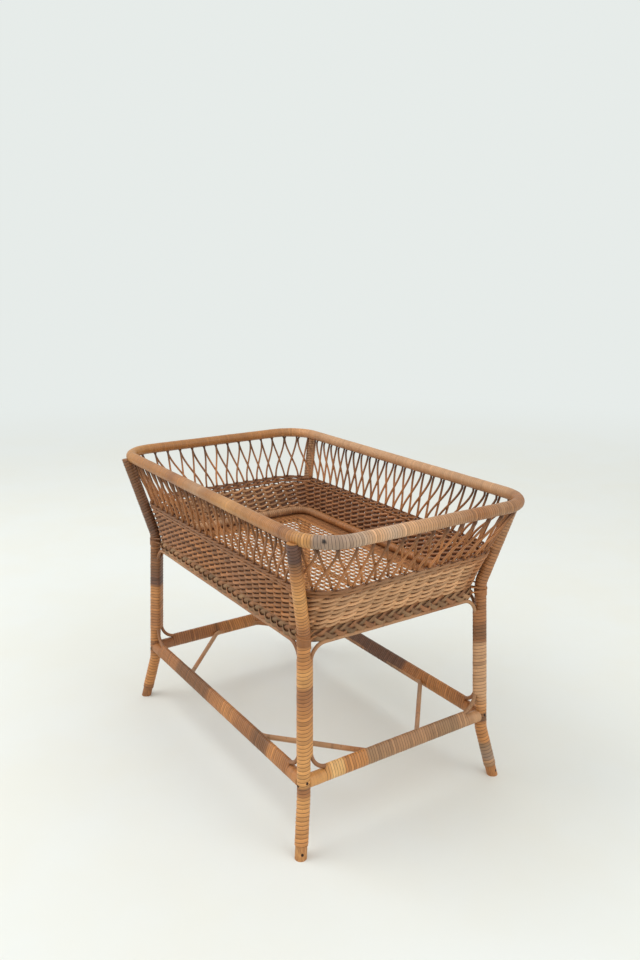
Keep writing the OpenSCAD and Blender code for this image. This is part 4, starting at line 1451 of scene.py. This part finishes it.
def background_share(tree: bpy.types.NodeTree) -> bpy.types.NodeSocket:
    """1 for the camera's rays and for mirrored and refracted ones, which see the background."""
    path = tree.nodes.new("ShaderNodeLightPath")
    share = path.outputs["Is Camera Ray"]
    for ray in ("Is Glossy Ray", "Is Transmission Ray"):
        either = tree.nodes.new("ShaderNodeMath")
        either.operation = "MAXIMUM"
        tree.links.new(share, either.inputs[0])
        tree.links.new(path.outputs[ray], either.inputs[1])
        share = either.outputs[0]
    return share


@dataclass
class Studio:
    """The camera, the soft lights and the plain floor."""

    eye: Vector = Vector((1.82016, -1.15774, 1.14884))
    yaw: float = math.radians(56.547)
    lens: float = 49.41
    drop: float = -0.3395

    def camera(self) -> None:
        """Sets the camera at the photograph's angle."""
        data = bpy.data.cameras.new("camera")
        data.sensor_fit = "HORIZONTAL"
        data.sensor_width = 36
        data.lens = self.lens
        data.shift_y = self.drop
        made = bpy.data.objects.new("camera", data)
        made.location = self.eye
        made.rotation_euler = Euler((math.pi / 2, 0, self.yaw))
        bpy.context.scene.collection.objects.link(made)
        bpy.context.scene.camera = made

    def lamp(self, name: str, spot: Vector, size: float, energy: float) -> None:
        """Hangs one large soft lamp that faces the basket."""
        data = bpy.data.lights.new(name, "AREA")
        data.shape = "DISK"
        data.size = size
        data.energy = energy
        made = bpy.data.objects.new(name, data)
        made.location = spot
        made.rotation_euler = (Vector((0, 0, 0.35)) - spot).to_track_quat("-Z", "Y").to_euler()
        bpy.context.scene.collection.objects.link(made)

    def light(self) -> None:
        """Lights the basket softly from above and fills the rest from all round."""
        self.lamp("key", Vector((-1.2, -2.2, 3.2)), 3.2, 56)
        self.lamp("fill", Vector((2.8, 0.8, 2.6)), 2.8, 28)
        world = bpy.data.worlds.new("room")
        world.use_nodes = True
        tree = world.node_tree
        base = tree.nodes["Background"]
        base.inputs["Color"].default_value = (1.0, 0.98, 0.945, 1.0)
        base.inputs["Strength"].default_value = 0.84
        seen = tree.nodes.new("ShaderNodeBackground")
        seen.inputs["Color"].default_value = paint(Tone.WALL)
        seen.inputs["Strength"].default_value = 1.0
        mixed = tree.nodes.new("ShaderNodeMixShader")
        tree.links.new(background_share(tree), mixed.inputs[0])
        tree.links.new(base.outputs[0], mixed.inputs[1])
        tree.links.new(seen.outputs[0], mixed.inputs[2])
        tree.links.new(mixed.outputs[0], tree.nodes["World Output"].inputs["Surface"])
        bpy.context.scene.world = world

    def floor(self) -> None:
        """Lays a pale floor that fades into the background far from the basket."""
        mesh = bmesh.new()
        bmesh.ops.create_grid(mesh, x_segments=8, y_segments=8, size=14)
        data = bpy.data.meshes.new("floor")
        mesh.to_mesh(data)
        mesh.free()
        r = Recipe("floor_plaster")
        cloud = r.noise(r.spot(), 1.7, 4.0, 0.6)
        fine = r.noise(r.spot(), 30.0, 3.0, 0.6)
        colour = r.mixed(r.band(cloud, 0.35, 0.65), paint(Tone.FLOOR), paint(Tone.WALL))
        r.ends(colour, r.blend(fine, 0.75, 0.9), fine, 0.2 * MM, specular=0.2)
        glow = r.node("ShaderNodeEmission")
        glow.inputs["Color"].default_value = paint(Tone.WALL)
        length = r.node("ShaderNodeVectorMath", operation="LENGTH")
        r.feed(length.inputs[0], r.spot())
        far = r.band(length.outputs["Value"], 2.0, 5.5)
        share = r.math("MULTIPLY", far, background_share(r.tree))
        mixed = r.node("ShaderNodeMixShader")
        r.feed(mixed.inputs[0], share)
        r.feed(mixed.inputs[1], r.shader.outputs[0])
        r.feed(mixed.inputs[2], glow.outputs[0])
        r.feed(r.tree.nodes["Material Output"].inputs["Surface"], mixed.outputs[0])
        data.materials.append(r.material)
        made = bpy.data.objects.new("floor", data)
        bpy.context.scene.collection.objects.link(made)


def dress(nodes: Sequence[str], material: bpy.types.Material) -> None:
    """Gives CAD nodes that keep their shape a finish.

    Args:
        nodes: Names of the nodes.
        material: The finish.
    """
    for name in nodes:
        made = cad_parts[name]
        if not made.material_slots:
            made.data.materials.append(material)
        for slot in made.material_slots:
            slot.material = material
        log.info("%s: kept, with %s", name, material.name)


LEG_STAINS = {
    Corner.FRONT_RIGHT: Stains((
        (0.02, Tone.AMBER), (0.10, Tone.HONEY), (0.112, Tone.COPPER), (0.123, Tone.RUSSET),
        (0.128, Tone.HONEY), (0.18, Tone.HONEY), (0.27, Tone.AMBER), (0.288, Tone.COPPER),
        (0.315, Tone.COPPER), (0.322, Tone.HONEY), (0.350, Tone.HONEY), (0.360, Tone.AMBER),
        (0.396, Tone.AMBER), (0.402, Tone.RUSSET), (0.434, Tone.COPPER), (0.442, Tone.AMBER),
        (0.50, Tone.HONEY), (0.548, Tone.AMBER), (0.562, Tone.COPPER), (0.578, Tone.CHESTNUT),
        (0.588, Tone.PLUM), (0.63, Tone.PLUM))),
    Corner.FRONT_LEFT: Stains((
        (0.0, Tone.CHESTNUT), (0.028, Tone.RUSSET), (0.036, Tone.AMBER), (0.11, Tone.AMBER),
        (0.12, Tone.COPPER), (0.14, Tone.RUSSET), (0.16, Tone.AMBER), (0.20, Tone.COPPER),
        (0.27, Tone.AMBER), (0.292, Tone.AMBER), (0.300, Tone.PLUM), (0.35, Tone.CHESTNUT),
        (0.40, Tone.RUSSET), (0.44, Tone.WALNUT), (0.63, Tone.CHESTNUT))),
    Corner.REAR_RIGHT: Stains((
        (0.0, Tone.COPPER), (0.018, Tone.AMBER), (0.022, Tone.DUN), (0.034, Tone.CLAY),
        (0.040, Tone.ASH), (0.070, Tone.DUN), (0.078, Tone.AMBER), (0.115, Tone.AMBER),
        (0.122, Tone.CHESTNUT), (0.136, Tone.CHESTNUT), (0.142, Tone.AMBER), (0.18, Tone.TAN),
        (0.295, Tone.TAN), (0.302, Tone.RUSSET), (0.320, Tone.CHESTNUT), (0.343, Tone.RUSSET),
        (0.350, Tone.COPPER), (0.44, Tone.COPPER), (0.63, Tone.CLAY))),
    Corner.REAR_LEFT: Stains((
        (0.02, Tone.COPPER), (0.20, Tone.AMBER), (0.26, Tone.COPPER), (0.45, Tone.CLAY),
        (0.63, Tone.CLAY))),
}
SIDE_STAINS = {
    Side.FRONT: Stains((
        (-1.0, Tone.COPPER), (-0.60, Tone.COPPER), (-0.56, Tone.CHESTNUT), (-0.14, Tone.CHESTNUT),
        (-0.1, Tone.COPPER), (0.15, Tone.AMBER), (0.3, Tone.COPPER), (0.44, Tone.COPPER),
        (0.48, Tone.CHESTNUT), (0.64, Tone.CHESTNUT), (0.67, Tone.AMBER), (0.85, Tone.COPPER),
        (1.0, Tone.AMBER))),
    Side.RIGHT: Stains((
        (-1.0, Tone.HONEY), (-0.76, Tone.HONEY), (-0.74, Tone.STRAW), (-0.62, Tone.STRAW),
        (-0.60, Tone.AMBER), (-0.38, Tone.AMBER), (-0.35, Tone.DUN), (0.0, Tone.CLAY),
        (0.3, Tone.CLAY), (0.5, Tone.DUN), (0.66, Tone.DUN), (0.70, Tone.CLAY), (1.0, Tone.TAN))),
    Side.REAR: Stains((
        (-1.0, Tone.WALNUT), (0.27, Tone.WALNUT), (0.30, Tone.COPPER), (0.6, Tone.AMBER),
        (1.0, Tone.COPPER))),
    Side.LEFT: Stains((
        (-1.0, Tone.BARK), (-0.30, Tone.COPPER), (-0.26, Tone.CHESTNUT), (-0.22, Tone.COPPER),
        (0.0, Tone.AMBER), (0.5, Tone.COPPER), (1.0, Tone.COPPER))),
}


FOOT_TONES = {
    Corner.FRONT_RIGHT: Tone.HONEY,
    Corner.FRONT_LEFT: Tone.CHESTNUT,
    Corner.REAR_RIGHT: Tone.AMBER,
    Corner.REAR_LEFT: Tone.AMBER,
}


def main() -> None:
    """Builds the basket around its frame, piece by piece."""
    logging.basicConfig(level=logging.INFO, format="%(name)s: %(message)s")
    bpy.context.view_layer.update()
    plan = Plan()
    studio = Studio()
    studio.camera()
    studio.light()
    studio.floor()
    cane = CaneFinish("wound_cane").build()
    dark_cane = CaneFinish("dark_wound_cane", edge_highlight=0.3, wear_and_shade=0.45).build()
    rod = StrandFinish("side_rod", rings_per_metre=8.0).build()
    reed = StrandFinish("bent_reed", blotch=0.25).build()
    weave = StrandFinish("woven_reed", blotch=0.35, fibre=0.28, roughness=0.5).build()
    edging = StrandFinish("edging_reed", blotch=0.3, specks=0.5).build()
    braid = StrandFinish("border_reed", blotch=0.35, specks=0.55, roughness=0.58, coat=0.0).build()
    mat = StrandFinish("bottom_reed", blotch=0.3, roughness=0.55).build()
    lashing = StrandFinish("lashing_cane", blotch=0.25, fibre=0.3, roughness=0.42).build()
    pole = PoleFinish("bare_pole", Tone.HONEY, Tone.COPPER).build()
    nail = NailFinish("old_nail").build()
    RimHoop(plan).build(cane)
    for corner in Corner:
        leg = Leg(plan, corner, LEG_STAINS[corner])
        leg.bind(cane)
        leg.tie(lashing)
    for side in Side:
        part = SideFrame(plan, side, SIDE_STAINS[side])
        part.bind(cane, 53.6 * MM if part.along else 168.5 * MM)
        part.rods(rod)
    Braces(plan).build(rod)
    Lattice(plan).build(reed)
    WovenWall(plan).build(weave, reed, edging)
    base = BasketBase(plan)
    base.plait(braid)
    base.ring(dark_cane)
    base.bottom(mat)
    for corner, tone in FOOT_TONES.items():
        name = corner.node("leg_pole")
        dress([name], PoleFinish(f"bare_{name}", tone, Tone.COPPER).build())
    dress(["rim_pole", "base_ring_pole"] + [f"stretcher_pole_{side.name.lower()}" for side in Side], pole)
    dress(["stretcher_nails", "rim_nails", "foot_nails"], nail)
    scene = bpy.context.scene
    scene.view_settings.view_transform = "Standard"


if __name__ == "__main__":
    main()
